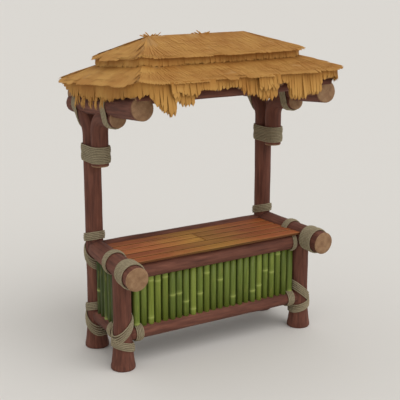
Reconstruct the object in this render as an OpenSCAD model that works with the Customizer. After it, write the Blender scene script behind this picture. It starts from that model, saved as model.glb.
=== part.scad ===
// Market stall of round logs: four posts, a plank counter with bamboo sides,
// two forked back posts and a two-tier thatched hip roof that leans back a little.
// Millimetres. +Z is up, the serving side faces -Y and the feet stand on z = 0.

/* [Plan] */
// Half distance between the back posts, axis to axis
post_half_x = 937; // [850:1:1050]
// How far each front post stands outside the back posts
front_splay = 36; // [0:1:60]
// Y of the back posts' axes
back_y = 300; // [260:1:340]
// Y of the front posts' axes
front_y = -291; // [-330:1:-250]

/* [Posts] */
// Radius of a post over its straight length
post_r = 80; // [70:1:90]
// Radius of the flared foot
foot_r = 112; // [95:1:125]
// Height over which the foot flares
foot_h = 420; // [300:5:460]
// Radius of the forward branch of each fork
branch_r = 78; // [68:1:86]
// Radius of the bend that turns a forward arm level
bend_r = 150; // [120:5:165]
// Radius of the bend that lets a back post lean
lean_r = 180; // [150:5:210]
// Lean of a back post over its bend, from upright
lean = 42; // [36:1:48]
// Height at which a back post begins to lean
lean_z = 2000; // [1965:5:2035]
// Distance from a side rail's axis down to the front post's hollowed top
saddle_drop = 20; // [10:1:30]
// How much the log swells where it bends
bend_swell = 1.5; // [1:0.5:4]
// Height of the branch's lower end
branch_foot_z = 1745; // [1680:5:1780]
// Width of the eased edge round the branch's lower end
branch_ease = 14; // [6:1:24]
// Y of the forward arms' cut ends
front_arm_y = -226; // [-280:1:-180]

/* [Counter] */
// Height of the counter top
counter_z = 985; // [900:5:1050]
// Thickness of a counter plank
plank_t = 20; // [16:1:28]
// Distance of the outer battens from the planks' ends
batten_end = 235; // [120:5:300]
// Y of the planks' front edge
plank_front_y = -390; // [-420:1:-375]
// Depth of the back counter rail's axis under the counter top
back_rail_in = 54; // [46:1:60]
// Gap between two planks
plank_gap = 3; // [2:0.5:6]
// Radius of the front counter rail
front_rail_r = 80; // [70:1:85]
// Radius of the back counter rail
back_rail_r = 75; // [65:1:80]
// Height of a side rail's axis at the back post
side_rail_back_z = 960; // [930:1:980]
// Height of a side rail's axis at its front end
side_rail_front_z = 917; // [900:1:950]
// Y of the side rails' front ends
side_rail_front_y = -624; // [-680:1:-560]
// Radius of a side rail at the back post
side_rail_back_r = 83; // [75:1:88]
// Radius of a side rail at its front end
side_rail_front_r = 106; // [95:1:112]
// Width of a batten under the planks
batten_w = 70; // [50:1:90]
// Height of a batten
batten_h = 45; // [35:1:55]
// How far a batten laps over the rails' axes' inner side
batten_lap = 30; // [25:1:45]

/* [Bamboo sides] */
// Height of the bottom rails' axes
bottom_z = 310; // [290:1:340]
// Radius of the bottom rails
bottom_r = 64; // [55:1:70]
// Canes in the front side
front_canes = 24; // [22:1:26]
// Canes in the back side
back_canes = 23; // [21:1:25]
// Canes in each short side
side_canes = 5; // [4:1:6]
// Room between a post and the first cane
cane_margin = 18; // [17:1:30]
// Overlap of two neighbouring canes
cane_overlap = 2; // [1:0.5:4]
// Distance from a rail's axis at which its canes are cut
cane_sink = 30; // [20:1:34]

/* [Roof] */
// Backward lean of the roof
roof_tilt = 5; // [0:0.5:7]
// Height of the roof bearers' axes over the middle of the roof
bearer_z = 2303; // [2250:1:2360]
// Y of the middle of the roof
roof_y = -13; // [-20:1:10]
// Length of a roof bearer
bearer_len = 1296; // [1250:2:1340]
// Radius of a bearer at its front end
bearer_front_r = 103; // [95:1:104]
// Radius of a bearer at its back end
bearer_back_r = 88; // [82:1:95]
// Distance from a bearer's axis down to the forward arm's axis
arm_drop = 105; // [100:1:135]
// Radius of the purlins
purlin_r = 55; // [48:1:60]
// Distance of each purlin from the middle of the roof
purlin_v = 600; // [560:1:610]
// Height of the purlins' axes over the bearers' axes
purlin_w = 85; // [78:1:92]
// Half length of the purlins
purlin_half = 1000; // [970:1:1010]
// Radius of the rafters
rafter_r = 22; // [18:1:26]
// Depth of the rafters' notches in the purlins
purlin_notch = 24; // [15:1:30]
// Length of a rafter past the purlin
rafter_tail = 90; // [60:1:110]
// Distance of the outer rafters from the ends of the ridge pole
rafter_end = 67; // [50:1:120]
// Gap between two rafters that lap on the ridge pole
rafter_gap = 2; // [1:0.5:6]
// Depth of the notches in the ridge pole
ridge_notch = 10; // [5:1:15]
// Radius of the ridge pole
ridge_r = 40; // [34:1:46]

/* [Thatch] */
// Thickness of the lower tier, measured upright
thatch_t = 120; // [100:1:140]
// Overhang of the lower tier past the purlins
eave_over = 230; // [190:1:260]
// Corner radius of the lower tier
eave_corner = 250; // [150:5:300]
// Rise of the front and back slopes per unit
slope_b = 0.33; // [0.3:0.01:0.4]
// Rise of the end slopes per unit
slope_a = 0.49; // [0.45:0.01:0.55]
// Half length of the upper tier
cap_a = 850; // [800:1:880]
// Half depth of the upper tier
cap_b = 510; // [480:1:540]
// Corner radius of the upper tier
cap_corner = 150; // [100:5:200]
// Upright thickness of the upper tier's rim
cap_rim = 84; // [70:1:100]
// Half length of the ridge
cap_ridge_half = 500; // [450:1:540]
// Height from the upper tier's rim to the ridge
cap_rise = 175; // [150:1:200]
// Thickness of the hanging fringe
fringe_t = 20; // [12:1:24]
// Set-back of the fringe from the eave
fringe_in = 3; // [3:1:8]
// Lengths of the tufts along the front eave, left to right
front_tufts = [135, 165, 97, 10, 8, 8, 8, 40, 58, 104, 60, 8, 120, 95, 90, 10];
// Lengths of the tufts along each end eave, front to back
side_tufts = [14, 18, 30, 42, 48, 38, 46, 32, 42, 26];

/* [Lashings] */
// Thickness of a rope turn
rope_t = 15; // [10:1:16]
// Width of a rope turn
rope_w = 74; // [60:1:80]
// Width of a rope turn on the roof bearers
bearer_rope_w = 36; // [28:1:37]
// Width of a rope turn on the forks
fork_rope_w = 49; // [40:1:52]
// Height of the middle of the fork lashings over the branch's lower end
fork_band_up = 107; // [96:1:130]
// Distance of the first front turn on a bearer from the arm's bend
front_strap_in = 115; // [100:1:130]
// Distance of the first back turn on a bearer from the end of the back post
back_strap_in = 43; // [36:1:50]
// Gap between rope turns
rope_gap = 1; // [0.5:0.5:3]
// Width of the turn on the front rail's end
end_turn_w = 46; // [30:1:50]
// Slant of the front posts' turns that pass over a bottom rail
slant_up = 42; // [34:1:46]
// Slant of the front posts' turns that pass under a bottom rail
slant_down = 18; // [14:1:24]
// Slant of the back posts' turns that pass over a rail
back_slant_up = 16; // [10:1:22]
// Slant of the back posts' turns that pass under a rail
back_slant_down = 40; // [34:1:44]

/* [Fits] */
// Room left where two pieces seat on each other
seat = 0.3; // [0.2:0.1:0.8]
// Gap between the coped ends of two rails that meet at a post
cope_gap = 0.5; // [0.5:0.5:3]
// Gap between the planks and the rope on the back posts
plank_end_gap = 4; // [3:0.5:10]
// Gap between the bearers and the straw that hangs outside them
eave_side_gap = 2; // [1.5:0.5:10]
// Room between a rope turn and the piece next to it
turn_room = 10; // [6:1:16]
// Room between a slanting turn and the rail it passes
slant_room = 8; // [6:1:14]

/* [Hidden] */
$fa = 6;
$fs = 4;
front_half_x = post_half_x + front_splay;
plank_under = counter_z - plank_t;
front_rail_z = plank_under - front_rail_r;
back_rail_z = counter_z - back_rail_in;
plank_back_y = back_y - sqrt(back_rail_r * back_rail_r - back_rail_in * back_rail_in);
splay_run = front_splay / (back_y - front_y);
branch_y = back_y - post_r - bend_swell - branch_r - seat;
bend_lap = 10;
side_from = [post_half_x, back_y, side_rail_back_z];
side_to = [post_half_x + splay_run * (back_y - side_rail_front_y), side_rail_front_y, side_rail_front_z];
lean_y = back_y + lean_r * (1 - cos(lean));
lean_len = (bearer_axis_z(lean_y) - lean_z - lean_r * sin(lean)) / (cos(lean) + tan(roof_tilt) * sin(lean));
front_bend_y = branch_y - bend_r * (1 - sin(roof_tilt));
eave_a = post_half_x + bearer_front_r + eave_side_gap + fringe_t + fringe_in;
eave_b = purlin_v + eave_over;
rafter_lift = rafter_r / cos(atan(slope_b));
rafter_under = purlin_w + purlin_r - purlin_notch;
eave_under = rafter_under + 2 * rafter_lift + 2 * seat - eave_over * slope_b;
eave_w = eave_under + thatch_t;
cap_under = eave_w + (eave_b - cap_b) * slope_b;
cap_w = cap_under + cap_rim;
ridge_under = eave_under + eave_b * slope_b;
ridge_w = ridge_under - 2 * rafter_lift - ridge_r + ridge_notch;
hip_ridge_half = eave_a - eave_b * slope_b / slope_a;
rafter_pitch = (hip_ridge_half - rafter_end) / 2;
cope_end = bottom_r + cope_gap;
side_turn_y = front_rail_r + rope_t + seat + rope_w / 2 + turn_room;
post_turn_s = post_r + rope_t + rope_w / 2 + turn_room;
plank_n = 5;
plank_w = (plank_back_y - plank_front_y - (plank_n - 1) * plank_gap) / plank_n;
plank_half = post_half_x - post_r - rope_t - plank_end_gap;
band_pitch = rope_w + rope_gap;
fork_band_z = branch_foot_z + fork_band_up;
BIG = 4000;

function bearer_axis_z(y) = bearer_z - tan(roof_tilt) * (y - roof_y);
function arm_z(y) = bearer_axis_z(y) - arm_drop / cos(roof_tilt);
function bearer_r(v) = bearer_front_r + (bearer_back_r - bearer_front_r) * (v / bearer_len + 0.5);
function side_share(y) = (back_y - y) / (back_y - side_rail_front_y);
function side_r(y) = side_rail_back_r + (side_rail_front_r - side_rail_back_r) * side_share(y);
function side_at(y) = side_from + (side_to - side_from) * side_share(y);

// Every piece is drawn on the right and mirrored for the left.
module on_left() {
    mirror([1, 0, 0]) children();
}

module bark() {
    color("#5f392d") children();
}

module straw() {
    color("#a57c45") children();
}

module rope() {
    color("#776d55") children();
}

module cane() {
    color("#738238") children();
}

module board() {
    color("#99622f") children();
}

// Places a child so that its z axis runs from p towards q.
module aim(p, q) {
    d = q - p;
    translate(p) rotate([0, acos(d.z / norm(d)), atan2(d.y, d.x)]) children();
}

module log_between(p, q, r1, r2) {
    aim(p, q) cylinder(h = norm(q - p), r1 = r1, r2 = r2);
}

module roof_frame() {
    translate([0, roof_y, bearer_z]) rotate([-roof_tilt, 0, 0]) children();
}

// Straight post with a flared foot; grow widens it to cut or wrap other pieces.
module post_body(top, grow) {
    rotate_extrude() polygon([
        [0, 0],
        [foot_r + grow, 0],
        [foot_r + grow, 0.05 * foot_h],
        [post_r + 0.5 * (foot_r - post_r) + grow, 0.28 * foot_h],
        [post_r + 0.19 * (foot_r - post_r) + grow, 0.57 * foot_h],
        [post_r + grow, foot_h],
        [post_r + grow, top],
        [0, top]]);
}

// An arm that leaves an upright log at bend_z and turns towards +Y by angle, round a bend.
module bent_arm(r, bend, bend_z, angle, length) {
    translate([0, bend, bend_z]) rotate([90, 0, -90])
        rotate_extrude(angle = angle) translate([bend, 0]) circle(r = r + bend_swell);
    translate([0, bend * (1 - cos(angle)), bend_z + bend * sin(angle)])
        rotate([-angle, 0, 0]) translate([0, 0, -bend_lap]) cylinder(h = length + bend_lap, r = r);
}

// The leaning top of a back post, up to the bearer's axis.
module leaning_limb(grow) {
    translate([post_half_x, back_y, 0]) bent_arm(post_r + grow, lean_r, lean_z, lean, lean_len);
}

module bearer_log(grow) {
    roof_frame() translate([post_half_x, -bearer_len / 2, 0]) rotate([-90, 0, 0])
        cylinder(h = bearer_len, r1 = bearer_front_r + grow, r2 = bearer_back_r + grow);
}

module purlin_log(v, grow) {
    translate([-purlin_half, v, purlin_w]) rotate([0, 90, 0])
        cylinder(h = 2 * purlin_half, r = purlin_r + grow);
}

module side_rail_log(grow) {
    log_between(side_from, side_to, side_rail_back_r + grow, side_rail_front_r + grow);
}

module front_rail_log(grow) {
    translate([-front_half_x, front_y, front_rail_z]) rotate([0, 90, 0])
        cylinder(h = 2 * front_half_x, r = front_rail_r + grow);
}

module back_rail_log(grow) {
    translate([-post_half_x, back_y, back_rail_z]) rotate([0, 90, 0])
        cylinder(h = 2 * post_half_x, r = back_rail_r + grow);
}

module bottom_cross_log(half, y, grow) {
    translate([-half, y, bottom_z]) rotate([0, 90, 0])
        cylinder(h = 2 * half, r = bottom_r + grow);
}

module bottom_side_log(grow) {
    log_between([post_half_x, back_y, bottom_z], [front_half_x, front_y, bottom_z],
        bottom_r + grow, bottom_r + grow);
}

// Back post: foot, shaft and the limb that leans back into the bearer's underside.
module back_post() {
    difference() {
        union() {
            translate([post_half_x, back_y, 0]) post_body(lean_z + bend_lap, 0);
            leaning_limb(0);
        }
        bearer_log(seat);
    }
}

// Forward branch of the fork: eased foot lashed to the post, bend and level arm.
module fork_branch() {
    bend_z = arm_z(front_bend_y) - bend_r * cos(roof_tilt);
    e = branch_ease;
    difference() {
        translate([post_half_x, branch_y, 0]) {
            translate([0, 0, branch_foot_z]) rotate_extrude() polygon([
                [0, 0], [branch_r - e, 0], [branch_r - 0.3 * e, 0.3 * e], [branch_r, e],
                [branch_r, bend_z + bend_lap - branch_foot_z], [0, bend_z + bend_lap - branch_foot_z]]);
            mirror([0, 1, 0])
                bent_arm(branch_r, bend_r, bend_z, 90 - roof_tilt, (front_bend_y - front_arm_y) / cos(roof_tilt));
        }
        bearer_log(seat);
    }
}

// Front post, hollowed at the top to carry the side rail.
module front_post() {
    difference() {
        translate([front_half_x, front_y, 0]) post_body(side_at(front_y).z - saddle_drop, 0);
        side_rail_log(seat);
    }
}

// Roof bearer, notched on top for the two purlins.
module roof_bearer() {
    difference() {
        bearer_log(0);
        roof_frame() purlin_log(-purlin_v, seat);
        roof_frame() purlin_log(purlin_v, seat);
    }
}

// Everything below the sloping top of the lower tier, lowered by drop.
module lower_hip(drop) {
    out = thatch_t;
    far_b = eave_b + out;
    far_a = eave_a + out;
    e = eave_w - drop;
    top = e + eave_b * slope_b;
    intersection() {
        translate([-BIG / 2, 0, 0]) rotate([90, 0, 90]) linear_extrude(BIG)
            polygon([[-far_b, -BIG / 8], [far_b, -BIG / 8], [far_b, e - out * slope_b],
                [0, top], [-far_b, e - out * slope_b]]);
        translate([0, BIG / 2, 0]) rotate([90, 0, 0]) linear_extrude(BIG)
            polygon([[-far_a, -BIG / 8], [far_a, -BIG / 8], [far_a, e - out * slope_a],
                [hip_ridge_half, top], [-hip_ridge_half, top], [-far_a, e - out * slope_a]]);
    }
}

module cap_hip() {
    out = thatch_t;
    run_a = cap_rise / (cap_a - cap_ridge_half);
    run_b = cap_rise / cap_b;
    intersection() {
        translate([-BIG / 2, 0, 0]) rotate([90, 0, 90]) linear_extrude(BIG)
            polygon([[-cap_b - out, 0], [cap_b + out, 0], [cap_b + out, cap_w - out * run_b],
                [0, cap_w + cap_rise], [-cap_b - out, cap_w - out * run_b]]);
        translate([0, BIG / 2, 0]) rotate([90, 0, 0]) linear_extrude(BIG)
            polygon([[-cap_a - out, 0], [cap_a + out, 0], [cap_a + out, cap_w - out * run_a],
                [cap_ridge_half, cap_w + cap_rise], [-cap_ridge_half, cap_w + cap_rise],
                [-cap_a - out, cap_w - out * run_a]]);
    }
}

// Upright prism with a rounded rectangle for a plan.
module rounded_plan(a, b, r) {
    translate([-a + r, -b, -BIG / 4]) cube([2 * (a - r), 2 * b, BIG / 2]);
    translate([-a, -b + r, -BIG / 4]) cube([2 * a, 2 * (b - r), BIG / 2]);
    for (x = [-a + r, a - r])
        for (y = [-b + r, b - r])
            translate([x, y, -BIG / 4]) cylinder(h = BIG / 2, r = r);
}

// Plan of one slope of a hip roof: 0 front, 1 right, 2 back, 3 left.
module slope_plan(k, a, b, ridge_half) {
    g = seat;
    translate([0, 0, -BIG / 4]) linear_extrude(BIG / 2) {
        if (k == 0) polygon([[-a, -b - g], [a, -b - g], [ridge_half, -g], [-ridge_half, -g]]);
        if (k == 1) polygon([[a + g, -b], [a + g, b], [ridge_half + g, 0]]);
        if (k == 2) polygon([[a, b + g], [-a, b + g], [-ridge_half, g], [ridge_half, g]]);
        if (k == 3) polygon([[-a - g, b], [-a - g, -b], [-ridge_half - g, 0]]);
    }
}

// Lower tier: four mitred slopes of one thickness.
module lower_thatch_local() {
    for (k = [0 : 3])
        intersection() {
            slope_plan(k, eave_a, eave_b, hip_ridge_half);
            rounded_plan(eave_a, eave_b, eave_corner);
            difference() {
                lower_hip(0);
                lower_hip(thatch_t);
            }
        }
}

// Upper tier: a thick cap that lies on the lower tier.
module upper_thatch_local() {
    for (k = [0 : 3])
        intersection() {
            slope_plan(k, cap_a, cap_b, cap_ridge_half);
            rounded_plan(cap_a, cap_b, cap_corner);
            difference() {
                cap_hip();
                lower_hip(-seat);
            }
        }
}

// Outline of a ragged skirt: one tip and one notch for each tuft, hanging from level 0.
module tuft_outline(drops, length) {
    n = len(drops);
    p = length / n;
    polygon(concat(
        [[0, thatch_t]],
        [[0, -0.5 * drops[0]]],
        [for (i = [0 : n - 1]) for (j = [0, 1])
            j == 0 ? [(i + 0.45) * p, -drops[i]]
            : [(i + 1) * p, -0.55 * min(drops[i], drops[min(i + 1, n - 1)])]],
        [[length, thatch_t]]));
}

module fringe_slab(drops, half) {
    rotate([90, 0, 0]) linear_extrude(fringe_t) translate([-half, 0]) tuft_outline(drops, 2 * half);
}

// Skirt of straw under the four eaves, trimmed to the slopes above it.
module thatch_fringe_local() {
    intersection() {
        lower_hip(thatch_t + seat);
        union() {
            translate([0, -eave_b + fringe_in + fringe_t, eave_under])
                fringe_slab(front_tufts, eave_a - 0.75 * eave_corner);
            translate([0, eave_b - fringe_in, eave_under])
                mirror([1, 0, 0]) fringe_slab(front_tufts, eave_a - 0.75 * eave_corner);
            translate([eave_a - fringe_in - fringe_t, 0, eave_under]) rotate([0, 0, 90])
                fringe_slab(side_tufts, eave_b - 0.9 * eave_corner);
            on_left() translate([eave_a - fringe_in - fringe_t, 0, eave_under]) rotate([0, 0, 90])
                fringe_slab(side_tufts, eave_b - 0.9 * eave_corner);
        }
    }
}

// Rafter pair, lapped side by side on the ridge pole and let into the purlins under the thatch.
module rafter_pair(x, grow) {
    run = purlin_v + rafter_tail;
    lap = rafter_r + rafter_gap / 2;
    top = ridge_under - rafter_lift - 2 * seat;
    for (s = [-1, 1])
        log_between([x + s * lap, 0, top], [x + s * lap, s * run, top - run * slope_b],
            rafter_r + grow, rafter_r + grow);
}

module all_rafters(grow) {
    for (i = [-2 : 2]) rafter_pair(i * rafter_pitch, grow);
}

module purlin(v) {
    roof_frame() difference() {
        intersection() {
            purlin_log(v, 0);
            lower_hip(thatch_t + seat);
        }
        all_rafters(seat);
    }
}

// Rope turn: a flat strap with eased outer edges, round a log on the z axis.
module turn(r, w) {
    e = 0.35 * rope_t;
    rotate_extrude() translate([r + seat, 0]) polygon([
        [0, -w / 2], [rope_t - e, -w / 2], [rope_t, -w / 2 + e],
        [rope_t, w / 2 - e], [rope_t - e, w / 2], [0, w / 2]]);
}

// Outline drawn tight round two circles, the second one d below the first.
module tight_outline(r1, r2, d, grow) {
    a = r1 + grow;
    b = r2 + grow;
    ny = (b - a) / d;
    nx = sqrt(1 - ny * ny);
    k = 0.05;
    circle(r = a);
    translate([0, -d]) circle(r = b);
    polygon([[nx * (a - k), ny * (a - k)], [nx * (b - k), ny * (b - k) - d],
        [-nx * (b - k), ny * (b - k) - d], [-nx * (a - k), ny * (a - k)]]);
}

// Rope turn round two parallel logs.
module double_turn(r1, r2, d, w) {
    translate([0, 0, -w / 2]) linear_extrude(w) difference() {
        tight_outline(r1, r2, d, seat + rope_t);
        tight_outline(r1, r2, d, seat);
    }
}

// Slanting turn on a post: level z0 at the axis, rising towards +X by angle.
module slant_turn(z0, angle) {
    difference() {
        intersection() {
            post_body(branch_foot_z, seat + rope_t);
            translate([0, 0, z0]) rotate([0, -angle, 0]) cube([BIG, BIG, rope_w], center = true);
        }
        post_body(branch_foot_z, seat);
    }
}

// Two slanting turns that meet behind the post and pass over and under a rail towards +X.
// A second rail leaves the post towards +Y and is left free.
module crossed_turns(rail_z, rail_r, up, down, free_z, free_r) {
    reach = post_r - seat;
    free = free_r + slant_room;
    z_up = rail_z + rail_r + slant_room + rope_w / 2 / cos(up) - reach * tan(up);
    z_down = rail_z - rail_r - slant_room - rope_w / 2 / cos(down) + reach * tan(down);
    difference() {
        union() {
            slant_turn(z_up, up);
            slant_turn(z_down, -down);
        }
        translate([-free, 0, free_z - free]) cube([2 * free, BIG, 2 * free]);
    }
}

// Rope at a back post: bottom level and counter level.
module back_bottom_lashing() {
    translate([post_half_x, back_y, 0]) mirror([1, 0, 0]) rotate([0, 0, -90])
        crossed_turns(bottom_z, bottom_r, back_slant_up, back_slant_down, bottom_z, bottom_r);
}

module back_counter_lashing() {
    translate([post_half_x, back_y, 0]) mirror([1, 0, 0]) rotate([0, 0, -90])
        crossed_turns(side_rail_back_z, side_rail_back_r, back_slant_up, back_slant_down, back_rail_z, back_rail_r);
}

// Single turn on the side bottom rail beside the front post.
module side_bottom_turn(grow) {
    p = [post_half_x, back_y, bottom_z];
    q = [front_half_x, front_y, bottom_z];
    aim(q, p) translate([0, 0, post_turn_s]) rail_turn(bottom_r, grow);
}

// A turn when grow is 0, else the room that it takes up.
module rail_turn(r, grow) {
    if (grow == 0) turn(r, rope_w);
    else cylinder(h = rope_w + 2 * grow, r = r + rope_t + seat + grow, center = true);
}

module front_bottom_turn(grow) {
    translate([front_half_x - post_turn_s, front_y, bottom_z])
        rotate([0, 90, 0]) rail_turn(bottom_r, grow);
}

module front_bottom_lashing() {
    translate([front_half_x, front_y, 0]) mirror([1, 0, 0])
        crossed_turns(bottom_z, bottom_r, slant_up, slant_down, bottom_z, bottom_r);
    front_bottom_turn(0);
    side_bottom_turn(0);
}

// Turns on the side rail behind and before the front post, and on the front rail's end.
module side_rail_turn(y, grow) {
    aim(side_at(y), side_to) rail_turn(side_r(y - rope_w / 2) + seat, grow);
}

module front_rail_turn(grow) {
    w = end_turn_w;
    translate([front_half_x - post_r - rope_t - turn_room - w / 2, front_y, front_rail_z]) rotate([0, 90, 0]) {
        if (grow == 0) turn(front_rail_r, w);
        else cylinder(h = w + 2 * grow, r = front_rail_r + rope_t + seat + grow, center = true);
    }
}

module front_counter_lashing() {
    side_rail_turn(front_y + side_turn_y, 0);
    side_rail_turn(front_y - side_turn_y, 0);
    side_rail_turn(front_y - side_turn_y - band_pitch, 0);
    front_rail_turn(0);
}

module fork_lashing() {
    for (i = [-1 : 1])
        translate([post_half_x, back_y, fork_band_z + i * (fork_rope_w + rope_gap)])
            double_turn(post_r, branch_r, back_y - branch_y, fork_rope_w);
}

// Turn that binds a bearer to the forward arm under it.
module arm_turn(v) {
    roof_frame() translate([post_half_x, v, 0]) rotate([90, 0, 0])
        double_turn(bearer_r(v - bearer_rope_w / 2) + seat, branch_r, arm_drop, bearer_rope_w);
}

// Turn that runs over a bearer and under the back post that leans into it.
module limb_turn(v) {
    intersection() {
        roof_frame() translate([0, v - bearer_rope_w / 2, -BIG / 8]) cube([BIG / 2, bearer_rope_w, BIG / 4]);
        difference() {
            union() {
                bearer_log(seat + rope_t);
                leaning_limb(seat + rope_t);
            }
            bearer_log(seat);
            leaning_limb(seat);
        }
    }
}

module bearer_lashing() {
    pitch = bearer_rope_w + rope_gap;
    front_v = (front_bend_y - roof_y) / cos(roof_tilt) - front_strap_in;
    back_v = (lean_y + lean_len * sin(lean) - roof_y) / cos(roof_tilt) - back_strap_in;
    for (i = [0, 1]) {
        arm_turn(front_v - i * pitch);
        limb_turn(back_v + i * pitch);
    }
}

// Side rail: butts against the back post and runs out past the front post.
module counter_side_rail() {
    difference() {
        side_rail_log(0);
        translate([post_half_x, back_y, 0]) post_body(branch_foot_z, seat);
        translate([0, back_y - back_rail_r - 2 * cope_gap, 0]) cube([BIG, BIG, BIG]);
    }
}

module front_counter_rail_body() {
    difference() {
        front_rail_log(0);
        for (m = [0, 1]) mirror([m, 0, 0]) {
            translate([front_half_x, front_y, 0]) post_body(branch_foot_z, seat);
            side_rail_log(seat);
            translate([front_half_x - cope_end, front_y - BIG / 2, 0]) cube([BIG, BIG, BIG]);
        }
    }
}

module back_counter_rail_body() {
    difference() {
        back_rail_log(0);
        for (m = [0, 1]) mirror([m, 0, 0]) {
            translate([post_half_x, back_y, 0]) post_body(branch_foot_z, seat);
            translate([post_half_x - cope_end, back_y - BIG / 2, 0]) cube([BIG, BIG, BIG]);
        }
    }
}

module bottom_cross_rail(half, y) {
    difference() {
        bottom_cross_log(half, y, 0);
        for (m = [0, 1]) mirror([m, 0, 0]) {
            translate([half, y, 0]) post_body(branch_foot_z, seat);
            translate([half - cope_end, y - BIG / 2, 0]) cube([BIG, BIG, BIG]);
        }
    }
}

module bottom_side_rail() {
    difference() {
        bottom_side_log(0);
        translate([post_half_x, back_y, 0]) post_body(branch_foot_z, seat);
        translate([front_half_x, front_y, 0]) post_body(branch_foot_z, seat);
        translate([0, back_y - cope_end, 0]) cube([BIG, BIG, BIG]);
        translate([0, front_y + cope_end - BIG, 0]) cube([BIG, BIG, BIG]);
    }
}

// Row of canes side by side along X, spread over a run.
module cane_row(n, run, z0, z1) {
    p = (run - cane_overlap) / n;
    for (i = [0 : n - 1])
        translate([(i - (n - 1) / 2) * p, 0, z0]) cylinder(h = z1 - z0, r = (p + cane_overlap) / 2);
}

module front_bamboo() {
    difference() {
        translate([0, front_y, 0])
            cane_row(front_canes, 2 * (front_half_x - post_r - cane_margin), bottom_z + cane_sink, front_rail_z - cane_sink);
        front_rail_log(seat);
        bottom_cross_log(front_half_x, front_y, seat);
        for (m = [0, 1]) mirror([m, 0, 0]) {
            front_rail_turn(1);
            front_bottom_turn(1);
        }
    }
}

module back_bamboo() {
    difference() {
        translate([0, back_y, 0])
            cane_row(back_canes, 2 * (post_half_x - post_r - cane_margin), bottom_z + cane_sink, back_rail_z - cane_sink);
        back_rail_log(seat);
        bottom_cross_log(post_half_x, back_y, seat);
    }
}

module side_bamboo() {
    mid = [(post_half_x + front_half_x) / 2, (back_y + front_y) / 2, 0];
    run = norm([front_splay, back_y - front_y]) - 2 * (post_r + cane_margin);
    difference() {
        translate(mid) rotate([0, 0, 90 + atan(splay_run)])
            cane_row(side_canes, run, bottom_z + cane_sink, side_at(mid.y).z - cane_sink);
        side_rail_log(seat);
        bottom_side_log(seat);
        side_rail_turn(front_y + side_turn_y, 1);
        side_bottom_turn(1);
    }
}

// Cross battens that carry the middle planks between the two long rails.
module counter_batten_set() {
    difference() {
        for (i = [-1 : 1])
            translate([i * (plank_half - batten_end) - batten_w / 2, front_y + batten_lap, plank_under - batten_h])
                cube([batten_w, back_y - front_y - 2 * batten_lap, batten_h]);
        front_rail_log(seat);
        back_rail_log(seat);
    }
}

// Plank i, counted from the front, hewn to the rails that frame it and hollowed over the rope.
// The third and the fourth are in two lengths that butt over the middle batten.
module plank(i) {
    y = plank_front_y + i * (plank_w + plank_gap);
    half = front_half_x;
    difference() {
        translate([-half, y, plank_under]) cube([2 * half, plank_w, plank_t]);
        if (i == 2 || i == 3)
            translate([-plank_gap / 2, y - plank_w, 0]) cube([plank_gap, 3 * plank_w, BIG]);
        back_rail_log(seat);
        for (m = [0, 1]) mirror([m, 0, 0]) {
            side_rail_log(seat);
            translate([post_half_x, back_y, 0]) post_body(branch_foot_z, rope_t + seat + plank_end_gap);
            side_rail_turn(front_y + side_turn_y, 1);
            side_rail_turn(front_y - side_turn_y, 1);
            front_rail_turn(1);
        }
    }
}

module back_left_post() { bark() on_left() back_post(); }
module back_right_post() { bark() back_post(); }
module front_left_post() { bark() on_left() front_post(); }
module front_right_post() { bark() front_post(); }
module left_fork_branch() { bark() on_left() fork_branch(); }
module right_fork_branch() { bark() fork_branch(); }
module left_roof_bearer() { bark() on_left() roof_bearer(); }
module right_roof_bearer() { bark() roof_bearer(); }
module front_purlin() { bark() purlin(-purlin_v); }
module back_purlin() { bark() purlin(purlin_v); }
module ridge_pole() {
    bark() roof_frame() difference() {
        translate([-hip_ridge_half, 0, ridge_w]) rotate([0, 90, 0])
            cylinder(h = 2 * hip_ridge_half, r = ridge_r);
        all_rafters(seat);
    }
}
module roof_rafters() { bark() roof_frame() all_rafters(0); }
module left_counter_rail() { bark() on_left() counter_side_rail(); }
module right_counter_rail() { bark() counter_side_rail(); }
module front_counter_rail() { bark() front_counter_rail_body(); }
module back_counter_rail() { bark() back_counter_rail_body(); }
module counter_battens() { board() counter_batten_set(); }
module counter_plank_1() { board() plank(0); }
module counter_plank_2() { board() plank(1); }
module counter_plank_3() { board() plank(2); }
module counter_plank_4() { board() plank(3); }
module counter_plank_5() { board() plank(4); }
module left_bottom_rail() { bark() on_left() bottom_side_rail(); }
module right_bottom_rail() { bark() bottom_side_rail(); }
module front_bottom_rail() { bark() bottom_cross_rail(front_half_x, front_y); }
module back_bottom_rail() { bark() bottom_cross_rail(post_half_x, back_y); }
module left_bamboo_side() { cane() on_left() side_bamboo(); }
module right_bamboo_side() { cane() side_bamboo(); }
module front_bamboo_side() { cane() front_bamboo(); }
module back_bamboo_side() { cane() back_bamboo(); }
module lower_thatch() { straw() roof_frame() lower_thatch_local(); }
module upper_thatch() { straw() roof_frame() upper_thatch_local(); }
module thatch_fringe() { straw() roof_frame() thatch_fringe_local(); }
module left_fork_lashing() { rope() on_left() fork_lashing(); }
module right_fork_lashing() { rope() fork_lashing(); }
module left_bearer_lashing() { rope() on_left() bearer_lashing(); }
module right_bearer_lashing() { rope() bearer_lashing(); }
module back_left_counter_lashing() { rope() on_left() back_counter_lashing(); }
module back_right_counter_lashing() { rope() back_counter_lashing(); }
module front_left_counter_lashing() { rope() on_left() front_counter_lashing(); }
module front_right_counter_lashing() { rope() front_counter_lashing(); }
module back_left_bottom_lashing() { rope() on_left() back_bottom_lashing(); }
module back_right_bottom_lashing() { rope() back_bottom_lashing(); }
module front_left_bottom_lashing() { rope() on_left() front_bottom_lashing(); }
module front_right_bottom_lashing() { rope() front_bottom_lashing(); }

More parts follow.
